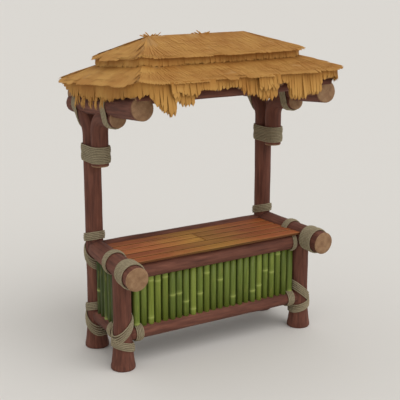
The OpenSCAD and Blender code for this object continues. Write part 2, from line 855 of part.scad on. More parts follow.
back_left_post();
back_right_post();
front_left_post();
front_right_post();
left_fork_branch();
right_fork_branch();
left_roof_bearer();
right_roof_bearer();
front_purlin();
back_purlin();
ridge_pole();
roof_rafters();
left_counter_rail();
right_counter_rail();
front_counter_rail();
back_counter_rail();
counter_battens();
counter_plank_1();
counter_plank_2();
counter_plank_3();
counter_plank_4();
counter_plank_5();
left_bottom_rail();
right_bottom_rail();
front_bottom_rail();
back_bottom_rail();
left_bamboo_side();
right_bamboo_side();
front_bamboo_side();
back_bamboo_side();
lower_thatch();
upper_thatch();
thatch_fringe();
left_fork_lashing();
right_fork_lashing();
left_bearer_lashing();
right_bearer_lashing();
back_left_counter_lashing();
back_right_counter_lashing();
front_left_counter_lashing();
front_right_counter_lashing();
back_left_bottom_lashing();
back_right_bottom_lashing();
front_left_bottom_lashing();
front_right_bottom_lashing();
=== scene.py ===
import math
import random

import bmesh
import bpy
import numpy as np
from mathutils import Matrix, Vector, geometry, noise


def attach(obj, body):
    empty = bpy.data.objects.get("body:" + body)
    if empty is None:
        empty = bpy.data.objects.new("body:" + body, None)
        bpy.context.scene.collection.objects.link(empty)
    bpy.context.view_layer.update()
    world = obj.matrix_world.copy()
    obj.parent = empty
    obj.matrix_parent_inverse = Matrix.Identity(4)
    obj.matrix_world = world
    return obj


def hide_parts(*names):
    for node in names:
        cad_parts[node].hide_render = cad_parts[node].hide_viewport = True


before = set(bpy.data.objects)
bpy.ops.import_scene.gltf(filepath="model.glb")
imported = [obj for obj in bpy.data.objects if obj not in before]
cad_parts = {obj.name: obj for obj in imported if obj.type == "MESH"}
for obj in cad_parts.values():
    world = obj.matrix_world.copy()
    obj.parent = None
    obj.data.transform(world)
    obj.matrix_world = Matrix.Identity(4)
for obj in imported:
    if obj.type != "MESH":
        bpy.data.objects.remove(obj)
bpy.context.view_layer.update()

# Camera: stands to the left of the serving side, higher than the roof, and looks down at the stall through
# a long lens, so that the posts stay almost upright in the picture.
scene = bpy.context.scene
scene.view_settings.view_transform = "Standard"
looked_at = Vector((0.199, 0.300, 1.247))
azimuth, elevation, distance = math.radians(-32.0), math.radians(14.36), 9.445
away = Vector((math.sin(azimuth) * math.cos(elevation),
               -math.cos(azimuth) * math.cos(elevation),
               math.sin(elevation)))
lens = bpy.data.cameras.new("stall_camera")
lens.lens, lens.sensor_width = 87.93, 36.0
camera = bpy.data.objects.new("stall_camera", lens)
scene.collection.objects.link(camera)
camera.location = looked_at + distance * away
camera.rotation_euler = away.to_track_quat("Z", "Y").to_euler()
scene.camera = camera

# Back posts: trunks with the flare of the root left on as a foot. The top of each one leans back, as it
# grew, and runs into the underside of the roof bearer that it carries.


def linear(code):
    """An sRGB hex colour as linear red, green, blue and alpha."""
    parts = [int(code[i:i + 2], 16) / 255 for i in (1, 3, 5)]
    return tuple(c / 12.92 if c <= 0.04045 else ((c + 0.055) / 1.055) ** 2.4 for c in parts) + (1.0,)


def new_finish(name):
    """A new material with its node tree and its shader."""
    made = bpy.data.materials.new(name)
    made.use_nodes = True
    return made, made.node_tree, made.node_tree.nodes["Principled BSDF"]


def feed(tree, node, inputs):
    """Gives a node its inputs: links from nodes or their sockets, and plain values."""
    for name, value in inputs.items():
        if isinstance(value, bpy.types.Node):
            value = value.outputs[2 if getattr(value, "data_type", None) == "RGBA" else 0]
        if isinstance(value, bpy.types.NodeSocket):
            tree.links.new(value, node.inputs[name])
        else:
            node.inputs[name].default_value = value


def add(tree, kind, inputs=None, stops=None, **settings):
    """Adds one node with its settings, its colour stops where it is a ramp, and its inputs."""
    made = tree.nodes.new("ShaderNode" + kind)
    for name, value in settings.items():
        setattr(made, name, value)
    if stops:
        ramp = made.color_ramp
        ramp.elements[0].position, ramp.elements[-1].position = stops[0][0], stops[-1][0]
        for place, _ in stops[1:-1]:
            ramp.elements.new(place)
        for element, (_, colour) in zip(ramp.elements, stops):
            element.color = linear(colour)
    feed(tree, made, inputs or {})
    return made


# Bark: thin smooth red-brown bark, matt, with long dark fibres and paler rubbed streaks along the log.
# The fibres are about 22 mm apart, drawn coarser than life so that they show, and run for 250 mm or more.
bark, tree, shader = new_finish("smooth_red_brown_bark")
grain = add(tree, "Attribute", attribute_name="grain").outputs["Vector"]
streaks = []
for apart, run, texture in ((0.022, 0.25, {"Detail": 5.0, "Roughness": 0.6}),
                            (0.006, 0.07, {"Detail": 3.0}), (0.12, 0.35, {"Detail": 2.0})):
    drawn = add(tree, "VectorMath", {0: grain, 1: (1 / apart, 1 / apart, 1 / run)}, operation="MULTIPLY")
    streaks.append(add(tree, "TexNoise", {"Vector": drawn, "Scale": 1.0, **texture}))
fibres, threads, patches = streaks
body = add(tree, "ValToRGB", {0: fibres},
           [(0.26, "#4e2c22"), (0.45, "#673d2f"), (0.60, "#754737"), (0.78, "#8a5946")])
rubbed = add(tree, "ValToRGB", {0: patches}, [(0.35, "#dccfc8"), (0.65, "#ffffff")])
shade = add(tree, "Mix", {0: 1.0, 6: body, 7: rubbed}, data_type="RGBA", blend_type="MULTIPLY")
relief = add(tree, "Math", {0: fibres, 1: threads}, operation="ADD")
bump = add(tree, "Bump", {"Height": relief, "Strength": 0.5, "Distance": 0.003})
feed(tree, shader, {"Base Color": shade, "Normal": bump, "Roughness": 0.82, "IOR": 1.45})

# Sawn log end: pale dry end grain with a darker pith and rings. The rings are 9 mm apart, wider than in
# a real trunk so that they show; 20 x scale is the number of radians in a metre.
sawn_end, tree, shader = new_finish("sawn_end_grain")
grain = add(tree, "Attribute", attribute_name="grain").outputs["Vector"]
rings = add(tree, "TexWave", {"Vector": grain, "Scale": 2 * math.pi / (20 * 0.009), "Distortion": 2.5,
                              "Detail": 2.0, "Detail Scale": 0.4}, wave_type="RINGS", rings_direction="Z")
blotch = add(tree, "TexNoise", {"Vector": grain, "Scale": 1 / 0.045, "Detail": 4.0})
tint = add(tree, "Mix", {0: 0.72, 2: rings.outputs["Fac"], 3: blotch}, data_type="FLOAT")
body = add(tree, "ValToRGB", {0: tint}, [(0.25, "#74533a"), (0.5, "#8f6d4e"), (0.75, "#a38362")])
bump = add(tree, "Bump", {"Height": tint, "Strength": 0.4, "Distance": 0.002})
feed(tree, shader, {"Base Color": body, "Normal": bump, "Roughness": 0.85, "IOR": 1.45})


def show(bm, name, finishes, smooth=True):
    """Makes a mesh into an object of the scene."""
    mesh = bpy.data.meshes.new(name)
    bm.to_mesh(mesh)
    bm.free()
    mesh.polygons.foreach_set("use_smooth", [smooth] * len(mesh.polygons))
    for finish in finishes:
        mesh.materials.append(finish)
    shown = bpy.data.objects.new(name, mesh)
    scene.collection.objects.link(shown)
    return shown


def carry(bm, name, node, finishes, smooth=True):
    """Makes a mesh into a piece of the stall that stands for the named CAD node."""
    piece = show(bm, name, finishes, smooth)
    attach(piece, "root")
    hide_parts(node)


def frames_along(points):
    """Square frames that follow a line of points without twisting; the third column runs along the line."""
    frames, side = [], None
    for i in range(len(points)):
        run = (points[min(i + 1, len(points) - 1)] - points[max(i - 1, 0)]).normalized()
        side = run.orthogonal() if side is None else side - run * side.dot(run)
        side.normalize()
        frames.append(Matrix((side, run.cross(side), run)).transposed())
    return frames


def push_ring(bm, edges, move):
    """Extrudes a ring of edges and moves the new ring; returns its points and its edges."""
    made = bmesh.ops.extrude_edge_only(bm, edges=edges)["geom"]
    ring = [g for g in made if isinstance(g, bmesh.types.BMVert)]
    bmesh.ops.transform(bm, matrix=move, verts=ring)
    fresh = set(ring)
    return ring, [g for g in made if isinstance(g, bmesh.types.BMEdge) and fresh.issuperset(g.verts)]


def pushed_rings(bm, sides, places, cap=None):
    """Draws a ring, closed by a face of material cap if given, and pushes it on from place to place."""
    last = None
    for place in places:
        if last is None:
            ring = bmesh.ops.create_circle(bm, segments=sides, radius=1.0, matrix=place)["verts"]
            edges = list({e for v in ring for e in v.link_edges})
            if cap is not None:
                bmesh.ops.contextual_create(bm, geom=edges, mat_nr=cap)
        else:
            ring, edges = push_ring(bm, edges, place @ last.inverted())
        yield ring, edges, place
        last = place


# The rings of a sawn face are shares of the log's radius with their setbacks; the bark stops short of it.
sawn_face = [(0.3, 0.0), (0.62, 0.0), (0.92, 0.0), (0.975, 0.004)]
bark_stop = 0.010
log_lump, log_ripple = 0.0035, 0.0014


def draw_log(points, radii, seed, sawn_foot=False, sawn_head=False, sides=26, bm=None):
    """A log of one or more radii along a line of points, a little out of round, with eased sawn ends."""
    bm = bm or bmesh.new()
    grain = bm.verts.layers.float_vector.get("grain") or bm.verts.layers.float_vector.new("grain")
    radii = radii if isinstance(radii, list) else [radii] * len(points)
    stations, far = [], 0.0
    for i, (point, turn, r) in enumerate(zip(points, frames_along(points), radii)):
        far += (point - points[i - 1]).length if i else 0.0
        stations.append((point, turn, r, far, False))
    for end, inward, shows in ((0, 1, sawn_foot), (-1, -1, sawn_head)):
        if shows:
            point, turn, r, at, _ = stations[end]
            run = inward * turn.col[2]
            stations[end] = (point + bark_stop * run, turn, r, at + inward * bark_stop, False)
            face = [(point + back * run, turn, share * r, at + inward * back, True)
                    for share, back in sawn_face]
            stations = face + stations if end == 0 else stations + face[::-1]
    places = [Matrix.Translation(point) @ (turn @ Matrix.Diagonal((r, r, 1.0))).to_4x4()
              for point, turn, r, _, _ in stations]
    was_sawn = stations[0][-1]
    rings = pushed_rings(bm, sides, places, int(was_sawn))
    for (_, _, r, at, sawn), (ring, edges, place) in zip(stations, rings):
        for e in edges:
            e.link_faces[0].material_index = int(sawn or was_sawn)
        for v in ring:
            spot = place.inverted() @ v.co
            spot.z = 0.0
            spot.normalize()
            where = 0.8 * spot + Vector((7.3 * seed, 0.0, 2.5 * at))
            swell = log_lump * noise.noise(where) + log_ripple * noise.noise(3.1 * where)
            v.co = place @ (spot * (1 + swell / r))
            v[grain] = Vector((spot.x * r, spot.y * r, at + 1.7 * seed))
        was_sawn = sawn
    bmesh.ops.contextual_create(bm, geom=edges, mat_nr=int(was_sawn))
    bmesh.ops.recalc_face_normals(bm, faces=bm.faces)
    return bm


def lay_log(name, points, radii, seed, **ends):
    """Draws a log and makes it the piece that stands for the CAD node of that name."""
    carry(draw_log(points, radii, seed, **ends), name + "_log", name, [bark, sawn_end])


def line(start, end, step=0.05):
    """Points at even steps from start to end."""
    start, end = Vector(start), Vector(end)
    count = max(2, round((end - start).length / step))
    return [start.lerp(end, i / count) for i in range(count + 1)]


post_x, back_y, post_r = 0.937, 0.300, 0.080
foot_z = [0.0, 0.010, 0.024, 0.060, 0.118, 0.178, 0.239, 0.330]
foot_r = [0.104, 0.111, 0.1115, 0.104, 0.0965, 0.090, 0.086, 0.082]
shaft_z = 0.420
lean_z, lean_r, lean = 2.000, 0.180, math.radians(42)
limb_top = (0.4724, 2.2605)
for side, name in ((-1, "back_left_post"), (1, "back_right_post")):
    x = side * post_x
    foot = [Vector((x, back_y, z)) for z in foot_z]
    shaft = line((x, back_y, shaft_z), (x, back_y, lean_z), 0.06)
    bend = [Vector((x, back_y + lean_r * (1 - math.cos(a)), lean_z + lean_r * math.sin(a)))
            for a in (lean * k / 6 for k in range(1, 7))]
    limb = line(bend[-1], (x, *limb_top))[1:]
    lay_log(name, foot + shaft + bend + limb, foot_r + [post_r] * len(shaft + bend + limb), seed=1 + side)

# Front posts: short logs of the same wood, with the same flared feet. Their tops are hollowed to carry the
# side rails, which are lashed in front of them and behind them.
front_x, front_y, front_top = 0.973, -0.291, 0.905
for side, name in ((-1, "front_left_post"), (1, "front_right_post")):
    x = side * front_x
    foot = [Vector((x, front_y, z)) for z in foot_z]
    shaft = line((x, front_y, shaft_z), (x, front_y, front_top))
    lay_log(name, foot + shaft, foot_r + [post_r] * len(shaft), seed=5 + side)

# Bottom rails: four thinner logs that tie the posts a quarter of a metre over the ground, coped to the
# posts so that their ends are out of sight.
rail_z, rail_r = 0.310, 0.064
cope, toe = 0.055, 0.003
bottom_rails = {
    "front_bottom_rail": ((-front_x + cope, front_y), (front_x - cope, front_y)),
    "back_bottom_rail": ((-post_x + cope, back_y), (post_x - cope, back_y)),
    "left_bottom_rail": ((-front_x + toe, front_y + cope), (-post_x - toe, back_y - cope)),
    "right_bottom_rail": ((front_x - toe, front_y + cope), (post_x + toe, back_y - cope)),
}
for i, (name, (start, end)) in enumerate(bottom_rails.items()):
    lay_log(name, line((*start, rail_z), (*end, rail_z)), rail_r, seed=10 + i)

# Counter rails: thick logs that frame the planks. The planks lie on the front one and meet the back one's
# shoulder; the side ones lie on the front posts and run out past them, where their sawn ends show.
front_rail_z, front_rail_r = 0.885, 0.080
long_rails = {"front_counter_rail": (front_x - 0.070, front_y, front_rail_z, front_rail_r),
              "back_counter_rail": (post_x - 0.060, back_y, 0.931, 0.075)}
for i, (name, (half, y, z, r)) in enumerate(long_rails.items()):
    lay_log(name, line((-half, y, z), (half, y, z)), r, seed=20 + i)


def taper(points, first, last):
    """Radii that run evenly from the first point to the last one."""
    return [first + (last - first) * i / (len(points) - 1) for i in range(len(points))]


side_back, side_front = Vector((0.937, 0.300, 0.960)), Vector((0.9933, -0.624, 0.917))
side_back_r, side_front_r, side_start = 0.083, 0.106, 0.06
for side, name in ((-1, "left_counter_rail"), (1, "right_counter_rail")):
    flip = Matrix.Diagonal((side, 1, 1))
    points = line(flip @ side_back.lerp(side_front, side_start), flip @ side_front)
    radii = taper(points, side_back_r + side_start * (side_front_r - side_back_r), side_front_r)
    lay_log(name, points, radii, seed=24 + side, sawn_head=True)

# Bamboo sides: rows of green canes set upright between the rails, here and there with a swollen knuckle.
# The canes are waxy, with fine lengthwise fibres, pale knuckles, and painted shade in the grooves between
# them.
bamboo, tree, shader = new_finish("waxy_green_bamboo")
cane_marks = ("knuckle", "tone", "groove")
grain = add(tree, "Attribute", attribute_name="grain").outputs["Vector"]
knuckle, tone, groove = [add(tree, "Attribute", attribute_name=mark).outputs["Fac"] for mark in cane_marks]
# Fibres 6 mm apart and 180 mm long; yellowed patches about 120 mm long.
streaks = []
for apart, run in ((0.006, 0.18), (0.03, 0.12)):
    drawn = add(tree, "VectorMath", {0: grain, 1: (1 / apart, 1 / apart, 1 / run)}, operation="MULTIPLY")
    streaks.append(add(tree, "TexNoise", {"Vector": drawn, "Scale": 1.0, "Detail": 3.0}))
fibres, patches = streaks
skin = add(tree, "ValToRGB", {0: tone},
           [(0.0, "#38460f"), (0.4, "#5f6e29"), (0.7, "#6b7a2e"), (1.0, "#7d8a36")])
streak = add(tree, "ValToRGB", {0: fibres}, [(0.3, "#bfc092"), (0.62, "#ffffff")])
streaked = add(tree, "Mix", {0: 0.7, 6: skin, 7: streak}, data_type="RGBA", blend_type="MULTIPLY")
aged = add(tree, "MapRange", {0: patches, 1: 0.55, 2: 0.8, 3: 0.0, 4: 0.5})
yellowed = add(tree, "Mix", {0: aged, 6: streaked, 7: linear("#8f8c3f")}, data_type="RGBA")
pale = add(tree, "Mix", {0: knuckle, 6: yellowed, 7: linear("#a3ad5c")}, data_type="RGBA")
# Painted shade: the canes darken where their surface turns sideways towards the next cane, in the grooves.
groove_shade = add(tree, "MapRange", {0: groove, 1: 0.55, 2: 0.98, 3: 0.0, 4: 0.85}, interpolation_type="SMOOTHSTEP")
groove_shaded = add(tree, "Mix", {0: groove_shade, 6: pale, 7: linear("#333c17")}, data_type="RGBA")
bump = add(tree, "Bump", {"Height": fibres, "Strength": 0.25, "Distance": 0.001})
feed(tree, shader, {"Base Color": groove_shaded, "Normal": bump, "Roughness": 0.45, "IOR": 1.47,
                    "Specular IOR Level": 0.3})

# A knuckle's rings: height from its middle, share of the cane's radius, and how pale it is.
cane_z, cane_sides, cane_waist = 0.34, 20, 0.975
knuckle_rings = [(-0.022, 0.965, 0.0), (-0.008, 0.98, 0.2), (0.0, 1.0, 0.7), (0.006, 0.994, 0.6),
                 (0.012, 0.955, 0.2), (0.035, cane_waist, 0.0)]


def draw_cane(bm, foot, top, r, row, fresh, dice):
    """One upright cane in a row: a ring pushed up, with a ridge and a groove where a knuckle comes."""
    grain = bm.verts.layers.float_vector["grain"]
    knuckle, tone, groove = [bm.verts.layers.float[mark] for mark in cane_marks]
    # A cane's tone comes from its side's range; the dark ranges of the left and right sides are painted
    # shade.
    own_tone, offset = dice.uniform(*fresh), dice.uniform(0, 40)
    stations = [(foot.z, cane_waist, 0.0), (top, cane_waist, 0.0)]
    z = foot.z + dice.uniform(0.03, 0.75)
    while z < top - 0.02:
        stations += [(z + up, share, ridge) for up, share, ridge in knuckle_rings]
        z += dice.uniform(0.30, 0.60)
    stations.sort()
    lean = Vector((dice.uniform(-0.002, 0.002), dice.uniform(-0.003, 0.003), 0.0))
    places = [Matrix.Translation((foot.x, foot.y, z)) @ Matrix.Translation(lean)
              @ Matrix.Diagonal((share * r, share * r, 1, 1)) for z, share, _ in stations]
    for (_, _, ridge), (ring, edges, place) in zip(stations, pushed_rings(bm, cane_sides, places, cap=0)):
        for v in ring:
            v[grain] = v.co - Vector((foot.x, foot.y, offset))
            v[knuckle], v[tone] = ridge, own_tone
            v[groove] = abs((place.inverted() @ v.co).dot(row))
    bmesh.ops.contextual_create(bm, geom=edges)


# Each side: first and last cane, how many, their radius, their tops, and the range of their tone, which
# varies at random;
# the left and right sides get only the darkest tones, as painted shade.
bamboo_sides = {
    "front_bamboo_side": ((-0.8384, front_y), (0.8384, front_y), 24, 0.0374, 0.850, (0.4, 1.0)),
    "back_bamboo_side": ((0.8021, back_y), (-0.8021, back_y), 23, 0.0375, 0.900, (0.4, 1.0)),
    "left_bamboo_side": ((-0.9454, 0.1627), (-0.9646, -0.1537), 5, 0.0404, 0.900, (0.0, 0.2)),
    "right_bamboo_side": ((0.9646, -0.1537), (0.9454, 0.1627), 5, 0.0404, 0.900, (0.0, 0.2)),
}
for i, (name, (first, last, count, r, top, fresh)) in enumerate(bamboo_sides.items()):
    dice = random.Random(30 + i)
    bm = bmesh.new()
    bm.verts.layers.float_vector.new("grain")
    for mark in cane_marks:
        bm.verts.layers.float.new(mark)
    start, end = Vector((*first, cane_z)), Vector((*last, cane_z))
    for k in range(count):
        draw_cane(bm, start.lerp(end, k / (count - 1)), top, r, (end - start).normalized(), fresh, dice)
    bmesh.ops.recalc_face_normals(bm, faces=bm.faces)
    carry(bm, name + "_canes", name, [bamboo])

# Counter planks: five sawn boards from side rail to side rail; two of them are in two lengths that butt
# over the middle batten. Bare wood with an open grain, golden in the middle and orange towards the ends.
plank_w, plank_t, plank_gap, plank_ease, plank_play = 0.1252, 0.020, 0.003, 0.006, 0.002
plank_front, plank_under, plank_short = -0.390, 0.965, 0.070
sawn_board, tree, shader = new_finish("bare_sawn_hardwood")
grain = add(tree, "Attribute", attribute_name="grain").outputs["Vector"]
tone = add(tree, "Attribute", attribute_name="tone").outputs["Fac"]
spot = add(tree, "SeparateXYZ", {0: add(tree, "TexCoord").outputs["Object"]})
# Grain lines 9 mm apart across the board, drawn out to about 400 mm along it; worn clouds 50 by 220 mm.
streaks = []
for apart, run, texture in ((0.009, 0.4, {"Detail": 4.0, "Roughness": 0.55, "Distortion": 0.4}),
                            (0.05, 0.22, {"Detail": 2.0})):
    drawn = add(tree, "VectorMath", {0: grain, 1: (1 / run, 1 / apart, 1 / apart)}, operation="MULTIPLY")
    streaks.append(add(tree, "TexNoise", {"Vector": drawn, "Scale": 1.0, **texture}))
lines, clouds = streaks
outward = add(tree, "Math", {0: spot.outputs[0]}, operation="ABSOLUTE")
cloudy = add(tree, "Math", {0: clouds, 1: 0.5, 2: outward}, operation="MULTIPLY_ADD")
worn = add(tree, "MapRange", {0: cloudy, 1: 0.25, 2: 0.85}, interpolation_type="SMOOTHSTEP")
orange = add(tree, "ValToRGB", {0: lines}, [(0.3, "#7a3c1a"), (0.5, "#b36430"), (0.72, "#cb7d3f")])
golden = add(tree, "ValToRGB", {0: lines}, [(0.3, "#875b1f"), (0.5, "#bd8733"), (0.72, "#d6a447")])
wood = add(tree, "Mix", {0: worn, 6: golden, 7: orange}, data_type="RGBA")
board_tone = add(tree, "ValToRGB", {0: tone}, [(0.0, "#d2c6bd"), (1.0, "#ffffff")])
toned = add(tree, "Mix", {0: 1.0, 6: wood, 7: board_tone}, data_type="RGBA", blend_type="MULTIPLY")
# Painted shade in a band along each seam, the seams coming every 128.2 mm from 391.5 mm in front of the
# middle, and painted highlights along the board edges beside them.
seam_y = plank_front - plank_gap / 2
rows = add(tree, "MapRange", {0: spot.outputs[1], 1: seam_y, 2: seam_y + plank_w + plank_gap, 4: 1.0},
           clamp=False)
in_row = add(tree, "Math", {0: rows}, operation="FRACT")
# rubbed marks the painted highlight stripes along the board edges, just inside the seams.
rubbed = add(tree, "ValToRGB", {0: in_row},
             [(0.0, "#000000"), (0.06, "#000000"), (0.10, "#ffffff"), (0.17, "#000000"), (0.87, "#000000"),
              (0.93, "#666666"), (1.0, "#000000")])
# Painted shade: a dark band along each seam.
seam_shade_mask = add(tree, "ValToRGB", {0: in_row},
            [(0.0, "#ffffff"), (0.045, "#ffffff"), (0.085, "#000000"), (0.93, "#000000"), (0.965, "#ffffff"),
             (1.0, "#ffffff")])
edge_highlight = add(tree, "Math", {0: rubbed, 1: 0.45}, operation="MULTIPLY")
edge_highlighted = add(tree, "Mix", {0: edge_highlight, 6: toned, 7: linear("#d9a05c")}, data_type="RGBA")
seam_shade = add(tree, "Math", {0: seam_shade_mask, 1: 0.75}, operation="MULTIPLY")
seam_shaded = add(tree, "Mix", {0: seam_shade, 6: edge_highlighted, 7: linear("#3d2a14")}, data_type="RGBA")
bump = add(tree, "Bump", {"Height": lines, "Strength": 0.5, "Distance": 0.002})
feed(tree, shader, {"Base Color": seam_shaded, "Normal": bump, "Roughness": 0.7, "IOR": 1.47,
                    "Specular IOR Level": 0.25})
dice = random.Random(40)
for row in range(5):
    bm = bmesh.new()
    grain = bm.verts.layers.float_vector.new("grain")
    tone = bm.verts.layers.float.new("tone")
    y = plank_front + row * (plank_w + plank_gap) + plank_w / 2
    rail = side_back.lerp(side_front, (side_back.y - y) / (side_back.y - side_front.y))
    reach = rail.x - plank_short
    halves = ((-reach, -plank_gap / 2), (plank_gap / 2, reach))
    for start, end in halves if row in (2, 3) else ((-reach, reach),):
        middle = Vector(((start + end) / 2, y, plank_under + plank_t / 2))
        own_tone, shift = dice.random(), dice.uniform(0, 50)
        size = Matrix.Diagonal((end - start, plank_w - plank_play, plank_t, 1))
        board = bmesh.ops.create_cube(bm, size=1.0, matrix=Matrix.Translation(middle) @ size)["verts"]
        edges = list({e for v in board for e in v.link_edges})
        eased = bmesh.ops.bevel(bm, geom=edges, offset=plank_ease, segments=2, profile=0.5, affect="EDGES",
                                material=-1)["verts"]
        long_edges = [e for e in {e for v in eased for e in v.link_edges}
                      if abs(e.verts[0].co.x - e.verts[1].co.x) > 0.2]
        made = bmesh.ops.subdivide_edges(bm, edges=long_edges, cuts=40, use_grid_fill=True)["geom"]
        kept = [v for v in eased if v.is_valid]
        for v in {*kept, *[g for g in made if isinstance(g, bmesh.types.BMVert)]}:
            v[grain] = v.co + Vector((shift, 0.0, 0.0))
            v[tone] = own_tone
            edge_wear = noise.noise(Vector((14 * v.co.x + shift, 30 * v.co.y, 30 * v.co.z)))
            v.co.y += 0.0014 * edge_wear
            v.co.z += 0.0010 * edge_wear - 0.0010
    bmesh.ops.recalc_face_normals(bm, faces=bm.faces)
    name = "counter_plank_%d" % (row + 1)
    carry(bm, name + "_boards", name, [sawn_board], smooth=False)

# Battens: three plain sawn bars under the planks, let into the long rails. Only their undersides show.
# Saw grain runs along the batten, 8 mm apart and 300 mm long.
batten_wood, tree, shader = new_finish("rough_sawn_batten")
spot = add(tree, "TexCoord").outputs["Object"]
drawn = add(tree, "VectorMath", {0: spot, 1: (1 / 0.008, 1 / 0.3, 1 / 0.008)}, operation="MULTIPLY")
lines = add(tree, "TexNoise", {"Vector": drawn, "Scale": 1.0, "Detail": 4.0})
body = add(tree, "ValToRGB", {0: lines}, [(0.3, "#63391f"), (0.7, "#a06a3c")])
bump = add(tree, "Bump", {"Height": lines, "Strength": 0.5, "Distance": 0.002})
feed(tree, shader, {"Base Color": body, "Normal": bump, "Roughness": 0.8})
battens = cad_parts["counter_battens"].data
battens.materials.clear()
battens.materials.append(batten_wood)

# Fork branches: each back post has a second log lashed to its front, with a sawn and eased foot. It bends
# forward into a level arm under the bearer, sawn square at its end.
branch_y, branch_r, branch_foot = 0.1402, 0.078, 1.745
arm_bend, arm_bend_z, arm_end = 0.150, 2.0468, (-0.226, 2.2162)
both_sawn = {"sawn_foot": True, "sawn_head": True}
for side, name in ((-1, "left_fork_branch"), (1, "right_fork_branch")):
    x = side * post_x
    shaft = line((x, branch_y, branch_foot), (x, branch_y, arm_bend_z))
    bend = [Vector((x, branch_y - arm_bend * (1 - math.cos(a)), arm_bend_z + arm_bend * math.sin(a)))
            for a in map(math.radians, range(10, 86, 9))]
    arm = line(bend[-1], (x, *arm_end))[1:]
    lay_log(name, shaft + bend + arm, branch_r, seed=50 + side, **both_sawn)

# Roof bearers: the thickest logs. They lie front to back on the limbs of the forks, lean back a little with
# the whole roof, and show a sawn end at the front and at the back.
roof = Matrix.Translation((0.0, -0.013, 2.303)) @ Matrix.Rotation(math.radians(-5.0), 4, "X")
bearer_half, bearer_front_r, bearer_back_r = 0.648, 0.103, 0.088
for side, name in ((-1, "left_roof_bearer"), (1, "right_roof_bearer")):
    x = side * post_x
    points = line(roof @ Vector((x, -bearer_half, 0)), roof @ Vector((x, bearer_half, 0)))
    lay_log(name, points, taper(points, bearer_front_r, bearer_back_r), seed=54 + side, **both_sawn)

# Purlins: two long logs with their bark on, under the front and back eaves, sawn square at both ends. They
# are let half into the tops of the bearers, without rope.
purlin_v, purlin_w, purlin_r, purlin_half = 0.600, 0.085, 0.055, 1.000
for side, name in ((-1, "front_purlin"), (1, "back_purlin")):
    v = side * purlin_v
    points = line(roof @ Vector((-purlin_half, v, purlin_w)), roof @ Vector((purlin_half, v, purlin_w)))
    lay_log(name, points, purlin_r, seed=58 + side, sides=20, **both_sawn)

# Ridge pole and rafters: thin poles under the straw. The rafters lap in pairs on the ridge pole and run
# down over the purlins.
ridge_w, ridge_r, ridge_half = 0.2846, 0.040, 0.506
points = line(roof @ Vector((-ridge_half, 0, ridge_w)), roof @ Vector((ridge_half, 0, ridge_w)))
lay_log("ridge_pole", points, ridge_r, seed=62, sides=18, **both_sawn)
rafter_top, rafter_run, rafter_fall = 0.3371, 0.690, 0.33
rafter_r, rafter_pitch, rafter_lap = 0.022, 0.2195, 0.023
poles = bmesh.new()
for i in range(-2, 3):
    for side in (-1, 1):
        x = i * rafter_pitch + side * rafter_lap
        low = Vector((x, side * rafter_run, rafter_top - rafter_fall * rafter_run))
        points = line(roof @ Vector((x, 0, rafter_top)), roof @ low, 0.06)
        draw_log(points, rafter_r, 70 + 2 * i + side, sides=12, bm=poles, **both_sawn)
carry(poles, "rafter_poles", "roof_rafters", [bark, sawn_end])

# Rope and bottom lashings: weathered grey-brown plant fibre, three strands twisted together. Every lashing
# is made of turns that lie side by side, and each turn is one loop drawn tight round its logs.
fibre_rope, tree, shader = new_finish("weathered_fibre_rope")
grain = add(tree, "Attribute", attribute_name="grain").outputs["Vector"]
valley = add(tree, "Attribute", attribute_name="valley").outputs["Fac"]
# Fibres 2.5 mm apart, drawn coarse, and 40 mm long along the twist; weathered patches 50 by 120 mm.
streaks = []
for apart, run in ((0.0025, 0.04), (0.05, 0.12)):
    drawn = add(tree, "VectorMath", {0: grain, 1: (1 / apart, 1 / apart, 1 / run)}, operation="MULTIPLY")
    streaks.append(add(tree, "TexNoise", {"Vector": drawn, "Scale": 1.0, "Detail": 2.0}))
fibres, patches = streaks
hair = add(tree, "Math", {0: fibres, 1: patches}, operation="ADD")
half_hair = add(tree, "Math", {0: hair, 1: 0.5}, operation="MULTIPLY")
body = add(tree, "ValToRGB", {0: half_hair}, [(0.32, "#8b7f66"), (0.5, "#a3967a"), (0.68, "#b6a98c")])
# Painted shade: the grooves between the strands are darkened.
valley_shaded = add(tree, "Mix", {0: valley, 6: body, 7: linear("#75694f")}, data_type="RGBA")
bump = add(tree, "Bump", {"Height": fibres, "Strength": 0.6, "Distance": 0.0015})
feed(tree, shader, {"Base Color": valley_shaded, "Normal": bump, "Roughness": 0.9, "IOR": 1.5})
rope_d, rope_step, rope_lay = 0.015, 0.011, 0.090
strand_shape = [1.0, 0.93, 0.80, 0.93] * 3
band_swell = 0.006


